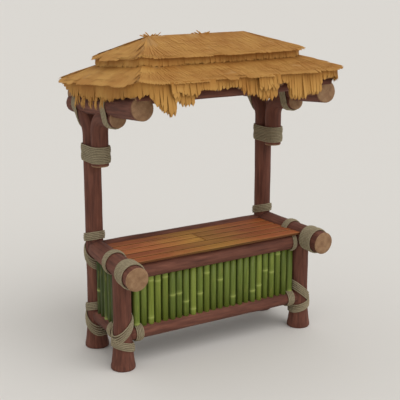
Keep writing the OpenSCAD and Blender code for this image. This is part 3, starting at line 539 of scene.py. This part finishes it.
def lay_rope(bm, loop, thick, dice):
    """One turn of rope round a closed loop: a three-lobed ring pushed along it, twisting as it goes."""
    grain = bm.verts.layers.float_vector.get("grain") or bm.verts.layers.float_vector.new("grain")
    valley = bm.verts.layers.float.get("valley") or bm.verts.layers.float.new("valley")
    corners = np.array([*loop, loop[0]])
    reach = np.concatenate([[0.0], np.cumsum(np.linalg.norm(np.diff(corners, axis=0), axis=1))])
    count = max(12, round(reach[-1] / rope_step))
    even = np.linspace(0.0, reach[-1], count, endpoint=False)
    points = [Vector(p) for p in np.stack([np.interp(even, reach, corners[:, k]) for k in range(3)], axis=1)]
    middle = sum(points, Vector()) / count
    twist = 2 * math.pi / 3 * round(3 * reach[-1] / rope_lay) / count
    start, offset = dice.uniform(0, 6.28), dice.uniform(0, 50)
    places = []
    for i, point in enumerate(points):
        run = (points[(i + 1) % count] - points[i - 1]).normalized()
        out = point - middle
        out = (out - run * out.dot(run)).normalized()
        turn = Matrix((out, run.cross(out), run)).transposed() @ Matrix.Rotation(start + i * twist, 3, "Z")
        wander = 0.0006 * Vector((noise.noise(20 * point), noise.noise(20 * point + Vector((9, 0, 0))), 0))
        places.append(Matrix.Translation(point + wander)
                      @ (turn @ Matrix.Diagonal((thick / 2, thick / 2, 1))).to_4x4())
    for i, (ring, edges, place) in enumerate(pushed_rings(bm, len(strand_shape), places)):
        if i == 0:
            first = edges
            for v, share in zip(ring, strand_shape):
                v.co = points[0].lerp(v.co, share)
                # valley is highest in the grooves between the strands, where the rope gets painted shade.
                v[valley] = (1.0 - share) * 4.0
        for v in ring:
            spot = place.inverted() @ v.co
            v[grain] = Vector((spot.x * thick / 2, spot.y * thick / 2, i * rope_step + offset))
    bmesh.ops.bridge_loops(bm, edges=first + edges)


def ring_loop(middle, along, r, sides=48):
    """Circle of points round a log."""
    turn = along.to_track_quat("Z", "Y").to_matrix()
    return [middle + turn @ Vector((r * math.cos(a), r * math.sin(a), 0))
            for a in (2 * math.pi * k / sides for k in range(sides))]


def wind(bm, loop_at, bands, dice):
    """Lays turns side by side in bands that swell in their middles; loop_at takes a place and a standoff."""
    place = -(sum(bands) - 1) / 2
    for count in bands:
        for k in range(count):
            swell = band_swell * (1 - ((2 * k + 1) / count - 1) ** 2)
            lay_rope(bm, loop_at(place * rope_d, rope_d / 2 + swell), rope_d, dice)
            place += 1


def foot_radius(z):
    """Radius of a post at a height over the ground."""
    return float(np.interp(z, foot_z + [shaft_z], foot_r + [post_r]))


def slant_loop(post, towards, past, level, slope, lift, offset, proud):
    """Loop on a post that climbs towards one rail by slope and steps past the other rail by lift."""
    loop, corners = [], 72
    for a in (2 * math.pi * k / corners for k in range(corners)):
        near = max(0.0, math.cos(min(abs(a - math.pi / 2), math.pi / 2) * 1.15)) if a < math.pi else 0.0
        z = level + offset + lift * near ** 1.5
        r = foot_radius(z + slope * post_r * math.cos(a)) + proud
        spot = towards * (r * math.cos(a)) + past * (r * math.sin(a))
        loop.append(Vector((post[0] + spot.x, post[1] + spot.y, z + slope * r * math.cos(a))))
    return loop


def cross_turns(bm, post, towards, past, bands, dice):
    """Bands of five turns on a post, each with its level, slant in degrees and step past the other rail."""
    for level, slant, lift in bands:
        slope = math.tan(math.radians(slant))
        stretch = math.hypot(1, slope)
        wind(bm, lambda off, proud: slant_loop(post, towards, past, level, slope, lift, off * stretch, proud),
             (5,), dice)


def tie_off(bm, name):
    """Makes turns of rope into the piece that stands for the lashing of that name."""
    bmesh.ops.recalc_face_normals(bm, faces=bm.faces)
    carry(bm, name + "_rope", name, [fibre_rope])


bottom_posts = {
    "back_left_bottom_lashing": ((-post_x, back_y), Vector((0, -1, 0)), Vector((1, 0, 0))),
    "back_right_bottom_lashing": ((post_x, back_y), Vector((0, -1, 0)), Vector((-1, 0, 0))),
    "front_left_bottom_lashing": ((-front_x, front_y), Vector((1, 0, 0)), Vector((0, 1, 0))),
    "front_right_bottom_lashing": ((front_x, front_y), Vector((-1, 0, 0)), Vector((0, 1, 0))),
}
rail_band = 0.142
for i, (name, (post, towards, past)) in enumerate(bottom_posts.items()):
    dice = random.Random(80 + i)
    bm = bmesh.new()
    if name.startswith("back"):
        cross_turns(bm, post, towards, past, ((0.3976, 16, 0.025), (0.2566, -40, -0.067)), dice)
    else:
        cross_turns(bm, post, towards, past, ((0.3600, 42, 0.072), (0.2250, -18, -0.026)), dice)
        for run in (towards, Vector((-0.0608 if post[0] > 0 else 0.0608, 0.9981, 0))):
            spot = Vector((*post, rail_z)) + rail_band * run
            wind(bm, lambda off, proud: ring_loop(spot + off * run, run, rail_r + proud), (5,), dice)
    tie_off(bm, name)

# Counter lashings: on the back posts two slanting bands cross over and under the side rails; in front,
# bands bind the side rails on both sides of the posts, and one holds the front rail's end.
side_bands, side_spread = (-0.1487, -0.4333, -0.5083), 0.025
front_band_x, across = 0.845, Vector((1, 0, 0))
for side, post_name in ((-1, "left"), (1, "right")):
    dice = random.Random(90 + side)
    bm = bmesh.new()
    cross_turns(bm, (side * post_x, back_y), Vector((0, -1, 0)), Vector((-side, 0, 0)),
                ((1.0666, 16, 0.0), (0.8876, -40, -0.090)), dice)
    tie_off(bm, "back_%s_counter_lashing" % post_name)
    bm = bmesh.new()
    flip = Matrix.Diagonal((side, 1, 1))
    along = (flip @ (side_front - side_back)).normalized()
    for y in side_bands:
        share = (side_back.y - y) / (side_back.y - side_front.y)
        spot = flip @ side_back.lerp(side_front, share)
        r = side_back_r + share * (side_front_r - side_back_r)
        wind(bm, lambda off, proud: ring_loop(spot + off * along, along, r + side_spread * off + proud),
             (5,), dice)
    spot = Vector((side * front_band_x, front_y, front_rail_z))
    wind(bm, lambda off, proud: ring_loop(spot + off * across, across, front_rail_r + proud), (3,), dice)
    tie_off(bm, "front_%s_counter_lashing" % post_name)

# Fork and bearer lashings: turns drawn tight round two logs at once, the post and its branch, and each
# bearer and the limb that carries it.


def drawn_tight(place, rings):
    """Loop drawn tight round ellipses (middle height, half width, half height) in the XY plane of place."""
    turn = np.linspace(0, 2 * math.pi, 60, endpoint=False)
    spots = [Vector((wide * math.cos(t), level + high * math.sin(t)))
             for level, wide, high in rings for t in turn]
    return [place @ spots[i].to_3d() for i in geometry.convex_hull_2d(spots)]


fork_band_z = 1.852
limb_v, limb_fall, arm_under = 0.4872, 1.3268, -0.105
limb_stretch = math.hypot(1, limb_fall)
bearer_rope, bearer_proud = 0.0147, 0.0072
bearer_turns = [*np.arange(-0.1537, -0.08, bearer_rope).tolist(),
                *np.arange(0.4262, 0.50, bearer_rope).tolist()]
fork_logs = np.array([(0.0, post_r, post_r), (branch_y - back_y, branch_r, branch_r)])
for side, post_name in ((-1, "left"), (1, "right")):
    dice = random.Random(100 + side)
    x = side * post_x
    bm = bmesh.new()
    wind(bm, lambda off, proud: drawn_tight(Matrix.Translation((x, back_y, fork_band_z + off)),
                                            fork_logs + np.array((0, 1, 1)) * proud), (5, 5), dice)
    tie_off(bm, "%s_fork_lashing" % post_name)
    bm = bmesh.new()
    for v in bearer_turns:
        r = bearer_front_r + (bearer_back_r - bearer_front_r) * (v / (2 * bearer_half) + 0.5) + bearer_proud
        arm = (branch_r if v < 0 else post_r) + bearer_proud
        other = (arm_under, arm, arm) if v < 0 else ((v - limb_v) * limb_fall, arm, arm * limb_stretch)
        place = roof @ Matrix.Translation((x, v, 0)) @ Matrix.Rotation(math.radians(90), 4, "X")
        lay_rope(bm, drawn_tight(place, [(0.0, r, r), other]), bearer_rope, dice)
    tie_off(bm, "%s_bearer_lashing" % post_name)

# Lower thatch: the first tier of straw, laid in overlapping rows on the rafters, with a thick ragged rim.
# A bed of packed straw is covered with loose stalks that all run down the slope.
straw, tree, shader = new_finish("dry_straw")
tone, along = [add(tree, "Attribute", attribute_name=mark).outputs["Fac"] for mark in ("tone", "along")]
spot = add(tree, "TexCoord").outputs["Object"]
# Weathered clouds about 250 mm across over the stalks' own colours. Each stalk gets painted shade at its
# root, where it tucks under the row above, and is palest at its tip, a painted highlight along the rims.
clouds = add(tree, "TexNoise", {"Vector": spot, "Scale": 1 / 0.25, "Detail": 2.0})
stalk = add(tree, "ValToRGB", {0: tone},
            [(0.0, "#a2743b"), (0.35, "#b58746"), (0.7, "#c1934f"), (1.0, "#cca05c")])
# Painted shade towards the roots and a painted highlight at the tips.
root_shade = add(tree, "ValToRGB", {0: along}, [(0.0, "#e6dacb"), (0.5, "#f6f0e8"), (1.0, "#ffffff")])
root_shaded = add(tree, "Mix", {0: 1.0, 6: stalk, 7: root_shade}, data_type="RGBA", blend_type="MULTIPLY")
cloud_tone = add(tree, "ValToRGB", {0: clouds}, [(0.35, "#e9dccf"), (0.65, "#ffffff")])
weathered = add(tree, "Mix", {0: 1.0, 6: root_shaded, 7: cloud_tone}, data_type="RGBA", blend_type="MULTIPLY")
feed(tree, shader, {"Base Color": weathered, "Roughness": 0.75, "IOR": 1.5, "Specular IOR Level": 0.2})

# Packed straw: the bed under the stalks, streaked down the slope every 12 mm.
straw_bed, tree, shader = new_finish("packed_straw_bed")
grain = add(tree, "Attribute", attribute_name="grain").outputs["Vector"]
drawn = add(tree, "VectorMath", {0: grain, 1: (1 / 0.012, 1 / 0.16, 1 / 0.02)}, operation="MULTIPLY")
lines = add(tree, "TexNoise", {"Vector": drawn, "Scale": 1.0, "Detail": 4.0})
body = add(tree, "ValToRGB", {0: lines}, [(0.3, "#9e7139"), (0.5, "#ad7f42"), (0.7, "#b98b4c")])
bump = add(tree, "Bump", {"Height": lines, "Strength": 0.9, "Distance": 0.006})
feed(tree, shader, {"Base Color": body, "Normal": bump, "Roughness": 0.85})


def round_plan(share, a, b, r):
    """Points and outward directions at shares of the way round rounded rectangles, from the front left."""
    share, a, b, r = [np.array(v, float) for v in np.broadcast_arrays(share, a, b, r)]
    at = share * (4 * (a - r) + 4 * (b - r) + 2 * math.pi * r)
    spot, out = np.zeros((*at.shape, 2)), np.zeros((*at.shape, 2))
    for quarter in range(4):
        far, half = (b, a - r) if quarter % 2 == 0 else (a, b - r)
        facing = math.radians(90 * quarter - 90)
        face = np.array([math.cos(facing), math.sin(facing)])
        along = np.array([-math.sin(facing), math.cos(facing)])
        here = (at >= 0) & (at < 2 * half)
        spot[here] = (far[..., None] * face + (at - half)[..., None] * along)[here]
        out[here] = face
        at = at - 2 * half
        here = (at >= 0) & (at < r * math.pi / 2)
        swing = at / np.maximum(r, 1e-6)
        fan = np.cos(swing)[..., None] * face + np.sin(swing)[..., None] * along
        spot[here] = ((far - r)[..., None] * face + half[..., None] * along + r[..., None] * fan)[here]
        out[here] = fan[here]
        at = at - r * math.pi / 2
    return spot, out


def back_corner(x, y):
    """How near a spot is to a back corner of the roof, where the straw thins out: 0 away from it, 1 on it."""
    return np.clip((np.abs(x) - 0.70) / 0.28, 0, 1) * np.clip((y - 0.42) / 0.28, 0, 1)


def draw_bed(rings, sides, tier, seed, thinned):
    """Bed of packed straw: a loop in plan, extruded from ring to ring of (inset, height over the slope)."""
    height, a, b, corner, narrow = tier
    bm = bmesh.new()
    grain = bm.verts.layers.float_vector.new("grain")
    ring = bmesh.ops.create_circle(bm, segments=sides, radius=1.0)["verts"]
    shares = {v: (math.atan2(v.co.y, v.co.x) / (2 * math.pi)) % 1.0 for v in ring}
    edges = list({e for v in ring for e in v.link_edges})
    for i, (inset, up) in enumerate(rings):
        if i:
            old = {tuple(round(c, 6) for c in v.co): s for v, s in shares.items()}
            ring, edges = push_ring(bm, edges, Matrix())
            shares = {v: old[tuple(round(c, 6) for c in v.co)] for v in ring}
        for v in ring:
            (x, y), _ = round_plan(shares[v], a - narrow * inset, b - inset, corner * (1 - inset / b))
            lump = 0.008 * noise.noise(Vector((6 * x, 6 * y, seed))) * min(1.0, 12 * inset)
            under = up * (1 - thinned * float(back_corner(x, y)))
            v.co = Vector((x, y, height(x, y) + under + lump))
            v[grain] = Vector((shares[v] * 2 * math.pi, inset - up, up))
        if i == 0:
            bmesh.ops.contextual_create(bm, geom=edges)
    bmesh.ops.contextual_create(bm, geom=edges)
    bmesh.ops.recalc_face_normals(bm, faces=bm.faces)
    bmesh.ops.transform(bm, matrix=roof, verts=bm.verts)
    return bm


# One stalk: a flat three-sided ring pushed along and drawn to a point. It is unit size, and lies along Y.
bm = bmesh.new()
lying = Matrix.Rotation(math.radians(90), 4, "X") @ Matrix.Rotation(math.radians(90), 4, "Z")
ring = bmesh.ops.create_circle(bm, segments=3, radius=0.58, matrix=lying)["verts"]
edges = list({e for v in ring for e in v.link_edges})
bmesh.ops.contextual_create(bm, geom=edges)
for far in (0.45, 0.40, 0.15):
    ring, edges = push_ring(bm, edges, Matrix.Translation((0, far, 0)))
bmesh.ops.pointmerge(bm, verts=ring, merge_co=(0, 1, 0))
bmesh.ops.recalc_face_normals(bm, faces=bm.faces)
bm.verts.index_update()
stalk_points = np.array([v.co for v in bm.verts])
stalk_faces = [[v.index for v in f.verts] for f in bm.faces]
bm.free()
stalk_flat, stalk_spacing = 0.16, 0.0075


def bind_straw(batches, node, bed=None):
    """Copies the stalk to every place in the batches, over a bed where there is one, as one piece."""
    root, run, up, length, width, lift, droop, tone = [np.concatenate(column) for column in zip(*batches)]
    side = np.cross(run, up)
    t = stalk_points[:, 1]
    rise = (stalk_points[None, :, 2] * (stalk_flat * width)[:, None]
            + lift[:, None] * t - droop[:, None] * t ** 3)
    spots = (root[:, None, :] + side[:, None, :] * (stalk_points[None, :, 0] * width[:, None])[..., None]
             + run[:, None, :] * (t * length[:, None])[..., None] + up[:, None, :] * rise[..., None])
    spots = spots.reshape(-1, 3) @ np.array(roof.to_3x3()).T + np.array(roof.translation)
    count = len(stalk_points)
    faces = [[i + n * count for i in face] for n in range(len(root)) for face in stalk_faces]
    mesh = bpy.data.meshes.new(node + "_stalks")
    mesh.from_pydata(spots.tolist(), [], faces)
    for mark, values in (("tone", np.repeat(tone, count)), ("along", np.tile(t, len(root)))):
        mesh.attributes.new(mark, "FLOAT", "POINT").data.foreach_set("value", values.astype(np.float32))
    whole = bed or bmesh.new()
    for face in whole.faces:
        face.material_index = 1
    whole.from_mesh(mesh)
    bpy.data.meshes.remove(mesh)
    carry(whole, node + "_straw", node, [straw, straw_bed] if bed else [straw], smooth=False)


def unit(rows):
    """Rows of vectors brought to length 1."""
    return rows / np.linalg.norm(rows, axis=1, keepdims=True)


def torn(rng, ring, least, most):
    """Uneven tabs along a rim; gives the level of a share's tab, the place in it, -1 to 1, and its width."""
    cuts = np.cumsum(rng.uniform(least, most, int(ring / least) + 2))
    level = rng.uniform(-1, 1, len(cuts))

    def at(share):
        k = np.searchsorted(cuts, share * ring)
        start = np.where(k > 0, cuts[k - 1], 0.0)
        return level[k], 2 * (share * ring - start) / (cuts[k] - start) - 1, cuts[k] - start
    return at


def slope_straw(rng, tier, row, tabs):
    """One row of stalks on a hip: row gives the insets of their roots and of their torn tips."""
    height, a, b, corner, narrow = tier
    inset, tip = row
    ring = 4 * (a - narrow * inset) + 4 * (b - inset)
    count = max(8, int(ring / stalk_spacing))
    share = (np.arange(count) + rng.uniform(-0.6, 0.6, count)) / count % 1.0
    at = np.minimum(inset + rng.normal(0, 0.012, count), b - 0.004)
    spot, out = round_plan(share, a - narrow * at, b - at, corner * np.clip(1 - at / b, 0, 1))
    level, place, _ = tabs(share)
    # A stalk that would run over a hip, from one slope to the other, lies along the hip instead.
    on_long_slope = (b - np.abs(spot[:, 1])) * narrow < a - np.abs(spot[:, 0])
    sideways = np.abs(out[:, 0]) > narrow * np.abs(out[:, 1])
    hip = np.sign(spot) * np.array([narrow, 1.0]) / math.hypot(narrow, 1.0)
    down = np.where((on_long_slope == sideways)[:, None], hip, out)
    fan = rng.normal(0, 0.03, count) - 0.04 * place
    aim = np.column_stack([down[:, 0] * np.cos(fan) - down[:, 1] * np.sin(fan),
                           down[:, 0] * np.sin(fan) + down[:, 1] * np.cos(fan)])
    x, y = spot.T
    step = 0.004
    rise_x = (height(x + step, y) - height(x - step, y)) / (2 * step)
    rise_y = (height(x, y + step) - height(x, y - step)) / (2 * step)
    root = np.column_stack([spot, height(x, y) - 0.005])
    run = unit(np.column_stack([aim, rise_x * aim[:, 0] + rise_y * aim[:, 1]]))
    up = unit(np.column_stack([-rise_x, -rise_y, np.ones(count)]))
    steep = (narrow - corner / b) * np.abs(out[:, 0]) + (1 - corner / b) * np.abs(out[:, 1]) + corner / b
    at_back = np.maximum(out[:, 1], 0.0)
    lip = -min(tip, 0.0) * (1 - 0.5 * at_back)
    reach = ((at - max(tip, 0.0)) * steep + lip + 0.022 * level * (1 - 0.4 * at_back)
             + rng.uniform(-0.004, 0.004, count))
    width = rng.uniform(0.014, 0.026, count)
    lift = 0.005 + 0.002 * level + rng.uniform(0, 0.001, count)
    droop = rng.uniform(0.0, 0.002, count) + (0.005 if tip < 0 else 0.0)
    tone = np.clip(0.55 + 0.12 * level + rng.normal(0, 0.05, count), 0, 1)
    return root, run, up, 1.06 * reach, width, lift, droop, tone


def lay_rows(rng, tier, rows, widest):
    """Rows of stalks on a tier, from the top down; the rows that reach over the rim share its torn tabs."""
    ring = 4 * (tier[1] + tier[2])
    rim_tabs = torn(rng, ring, 0.07, 0.25)
    return [slope_straw(rng, tier, row, rim_tabs if row[1] < 0 else torn(rng, ring, 0.05, widest))
            for row in rows]


eave_a, eave_b, eave_corner = 1.065, 0.830, 0.250
eave_top, thatch_t, bed_skin = 0.207, 0.120, -0.004
slope_b, slope_a = 0.33, 0.49


def lower_height(x, y):
    """Height of the lower tier's top over the bearers' axes."""
    return eave_top + np.minimum((eave_b - np.abs(y)) * slope_b, (eave_a - np.abs(x)) * slope_a)


lower_tier = (lower_height, eave_a, eave_b, eave_corner, slope_b / slope_a)
bed_rings = [*[(inset, -thatch_t) for inset in (0.79, 0.6, 0.4, 0.2)], (0.07, -0.11), (0.030, -0.092),
             (0.026, -0.06), (0.022, -0.03), (0.010, -0.014), (0.03, -0.006),
             *[(inset, bed_skin) for inset in (0.08, 0.14, 0.2, 0.3, 0.45, 0.6, 0.79)]]
bed = draw_bed(bed_rings, 220, lower_tier, 3.0, 0.6)
rng = np.random.default_rng(7)
lower_rows = ((0.42, 0.20), (0.37, 0.17), (0.32, 0.12), (0.27, 0.07), (0.22, 0.03), (0.19, -0.018),
              (0.15, -0.028), (0.11, -0.034))
bind_straw(lay_rows(rng, lower_tier, lower_rows, 0.22), "lower_thatch", bed)

# Upper thatch: the second tier, a thick cap over the ridge whose rim makes a step in the roof. Short straw
# hangs in the step, and small wisps stick out of the ridge.
cap_a, cap_b, cap_corner = 0.850, 0.510, 0.150
cap_rim, cap_rise, cap_ridge = 0.3966, 0.175, 0.500


def upper_height(x, y):
    """Height of the upper tier's top over the bearers' axes."""
    return cap_rim + cap_rise * np.minimum((cap_b - np.abs(y)) / cap_b,
                                           (cap_a - np.abs(x)) / (cap_a - cap_ridge))


def hanging_straw(rng, root, out, length, sway, tone):
    """Stalks that hang down from their roots, leaning out by a little and sideways by sway."""
    count = len(root)
    lean = rng.normal(0.02, 0.04, count)
    run = unit(np.column_stack([out[:, 0] * lean - out[:, 1] * sway, out[:, 1] * lean + out[:, 0] * sway,
                                -np.ones(count)]))
    up = unit(np.cross(run, np.column_stack([-out[:, 1], out[:, 0], np.zeros(count)])))
    return (root, run, up, length, rng.uniform(0.022, 0.040, count), rng.normal(0, 0.0015, count),
            rng.normal(0, 0.002, count), np.clip(tone + rng.normal(0, 0.06, count), 0, 1))


upper_tier = (upper_height, cap_a, cap_b, cap_corner, (cap_a - cap_ridge) / cap_b)
bed_rings = [(0.40, -0.14), (0.2, -0.11), (0.05, -0.088), (0.034, -0.084), (0.030, -0.055), (0.026, -0.028),
             (0.010, -0.012), (0.03, -0.006),
             *[(inset, bed_skin) for inset in (0.08, 0.14, 0.2, 0.3, 0.4, 0.49)]]
bed = draw_bed(bed_rings, 180, upper_tier, 8.0, 0.0)
upper_rows = ((0.505, 0.33), (0.47, 0.28), (0.42, 0.22), (0.36, 0.16), (0.30, 0.10), (0.24, 0.05),
              (0.20, 0.0), (0.16, -0.018), (0.12, -0.028), (0.08, -0.034))
batches = lay_rows(rng, upper_tier, upper_rows, 0.24)
count, step_in = int(4 * (cap_a + cap_b) / 0.007), 0.020
spot, out = round_plan(np.arange(count) / count, cap_a - step_in, cap_b - step_in, cap_corner)
root = np.column_stack([spot, upper_height(spot[:, 0], spot[:, 1]) - 0.015])
# The short straw hanging in the step gets a light tone, 0.85, as painted light against the shade under the
# cap.
batches.append(hanging_straw(rng, root, out, rng.uniform(0.060, 0.080, count), rng.normal(0, 0.06, count),
                             0.85))
count = 6
for u, lean in ((-0.50, -1.6), (-0.46, 1.4), (0.02, -1.8), (0.07, 2.2)):
    root = np.column_stack([u + rng.uniform(-0.03, 0.03, count), rng.uniform(-0.02, 0.02, count),
                            np.full(count, cap_rim + cap_rise - 0.02)])
    rng.normal(size=count)  # passed over, so that the straw drawn after it stays as it is
    run = unit(np.column_stack([lean + rng.normal(0, 0.3, count), rng.normal(-0.2, 0.25, count),
                                np.ones(count)]))
    up = unit(np.cross(run, np.column_stack([run[:, 2], np.zeros(count), -run[:, 0]])))
    batches.append((root, run, up, rng.uniform(0.04, 0.07, count), rng.uniform(0.008, 0.014, count),
                    np.zeros(count), rng.normal(0, 0.012, count), np.clip(rng.normal(0.6, 0.1, count), 0, 1)))
bind_straw(batches, "upper_thatch", bed)

# Fringe: long loose straw that hangs from under the eaves in uneven mats with pointed tips, longest towards
# the left of the serving side, and dies out at the back corners. The lists give places and lengths in metres.
front_places = [-1.06, -0.93, -0.92, -0.88, -0.83, -0.776, -0.749, -0.726, -0.721, -0.704, -0.688, -0.624,
                -0.567, -0.545, -0.523, -0.456, -0.313, -0.165, -0.085, -0.078, -0.018, 0.052, 0.072, 0.163,
                0.247, 0.267, 0.325, 0.389, 0.405, 0.477, 0.554, 0.578, 0.654, 0.721, 0.747, 0.859, 1.06]
front_drops = [-0.010, -0.010, 0.026, 0.076, 0.136, 0.164, 0.166, 0.089, 0.010, 0.027, 0.076, 0.097,
               0.094, 0.024, -0.032, -0.032, -0.015, -0.021, -0.023, 0.035, 0.048, 0.053, 0.080, 0.104,
               0.094, -0.014, -0.027, -0.023, 0.114, 0.125, 0.120, 0.085, 0.100, 0.087, -0.032,
               -0.042, -0.042]
side_places = [-0.70, -0.43, -0.28, -0.13, -0.03, 0.14, 0.30, 0.41, 0.60]
side_drops = [0.0, 0.015, 0.045, 0.026, 0.047, 0.045, 0.017, 0.030, -0.04]
eave_under, fringe_in, layer_in = 0.087, 0.012, 0.007
ring = 4 * (eave_a + eave_b) - 1.72 * eave_corner
count = int(ring / 0.0085)
batches = []
for layer in range(3):
    share = (np.arange(count) + rng.uniform(-0.6, 0.6, count)) / count % 1.0
    spot, out = round_plan(share, eave_a - fringe_in - layer_in * layer,
                           eave_b - fringe_in - layer_in * layer, eave_corner)
    x, y = spot.T
    facing = np.where(out[:, 1] < 0, 1.0, -1.0)
    hang = np.where(np.abs(out[:, 1]) > np.abs(out[:, 0]), np.interp(x * facing, front_places, front_drops),
                    np.interp(y, side_places, side_drops))
    level, place, wide = torn(rng, ring, 0.024, 0.052)(share)
    root = np.column_stack([spot, lower_height(x, y) - 0.012])
    full = root[:, 2] - eave_under + hang - 0.006 * layer
    length = full * (1 - 0.65 * back_corner(x, y)) + 0.010 * level - 0.022 * np.abs(place) ** 1.4
    sway = -0.32 * place * wide / length + rng.normal(0, 0.02, count)
    # Each layer further in is 0.10 darker in tone, as painted shade behind the outer layers.
    batches.append(hanging_straw(rng, root, out, length, sway, 0.60 - 0.10 * layer))
# In two places on the serving side the mat starts flush with the eave, as if the straw ran on over it.
place = np.concatenate([rng.uniform(-0.78, -0.36, 90), rng.uniform(0.07, 0.27, 40)])
count = len(place)
spot = np.column_stack([place, np.full(count, -eave_b - 0.018) + rng.uniform(-0.006, 0.006, count)])
root = np.column_stack([spot, np.full(count, eave_top - 0.006) + rng.uniform(-0.012, 0.004, count)])
length = np.minimum(root[:, 2] - eave_under + np.interp(place, front_places, front_drops),
                    rng.uniform(0.07, 0.13, count))
out = np.tile([0.0, -1.0], (count, 1))
batches.append(hanging_straw(rng, root, out, length, rng.normal(0.05, 0.06, count), 0.72))
# Long curved wisps hang from the ends of the roof, over the forks.
count = 7
for side in (-1, 1):
    for v in (-0.17, -0.06, 0.05, 0.19, 0.33):
        root = np.column_stack([np.full(count, side * (eave_a - 0.045)),
                                v + rng.uniform(-0.022, 0.022, count), np.full(count, 0.115)])
        run = unit(np.column_stack([np.full(count, 0.62 * side), rng.normal(-0.25, 0.08, count),
                                    np.full(count, -0.55)]))
        up = unit(np.cross(run, np.tile([0.0, 1.0 * side, 0.0], (count, 1))))
        batches.append((root, run, up, rng.uniform(0.11, 0.16, count), rng.uniform(0.010, 0.018, count),
                        np.full(count, 0.02), rng.uniform(0.06, 0.085, count),
                        np.clip(rng.normal(0.6, 0.1, count), 0, 1)))
bind_straw(batches, "thatch_fringe")

# Floor and light: a plain pale floor, one broad soft lamp from the serving side and even light all round.
# They only show the stall and are no part of it.
pale_floor, tree, shader = new_finish("pale_matt_floor")
feed(tree, shader, {"Base Color": linear("#dcd9d4"), "Roughness": 0.9})
bm = bmesh.new()
bmesh.ops.create_grid(bm, x_segments=1, y_segments=1, size=120.0)
floor = show(bm, "studio_floor", [pale_floor], smooth=False)
lamp = bpy.data.lights.new("soft_key", "SUN")
lamp.energy, lamp.angle = 1.15, math.radians(60)
key = bpy.data.objects.new("soft_key", lamp)
key.rotation_euler = Vector((-0.22, 0.70, -0.85)).to_track_quat("-Z", "Y").to_euler()
scene.collection.objects.link(key)
world = bpy.data.worlds.new("studio_light")
scene.world = world
world.use_nodes = True
feed(world.node_tree, world.node_tree.nodes["Background"], {"Color": linear("#f4f3f1"), "Strength": 0.78})
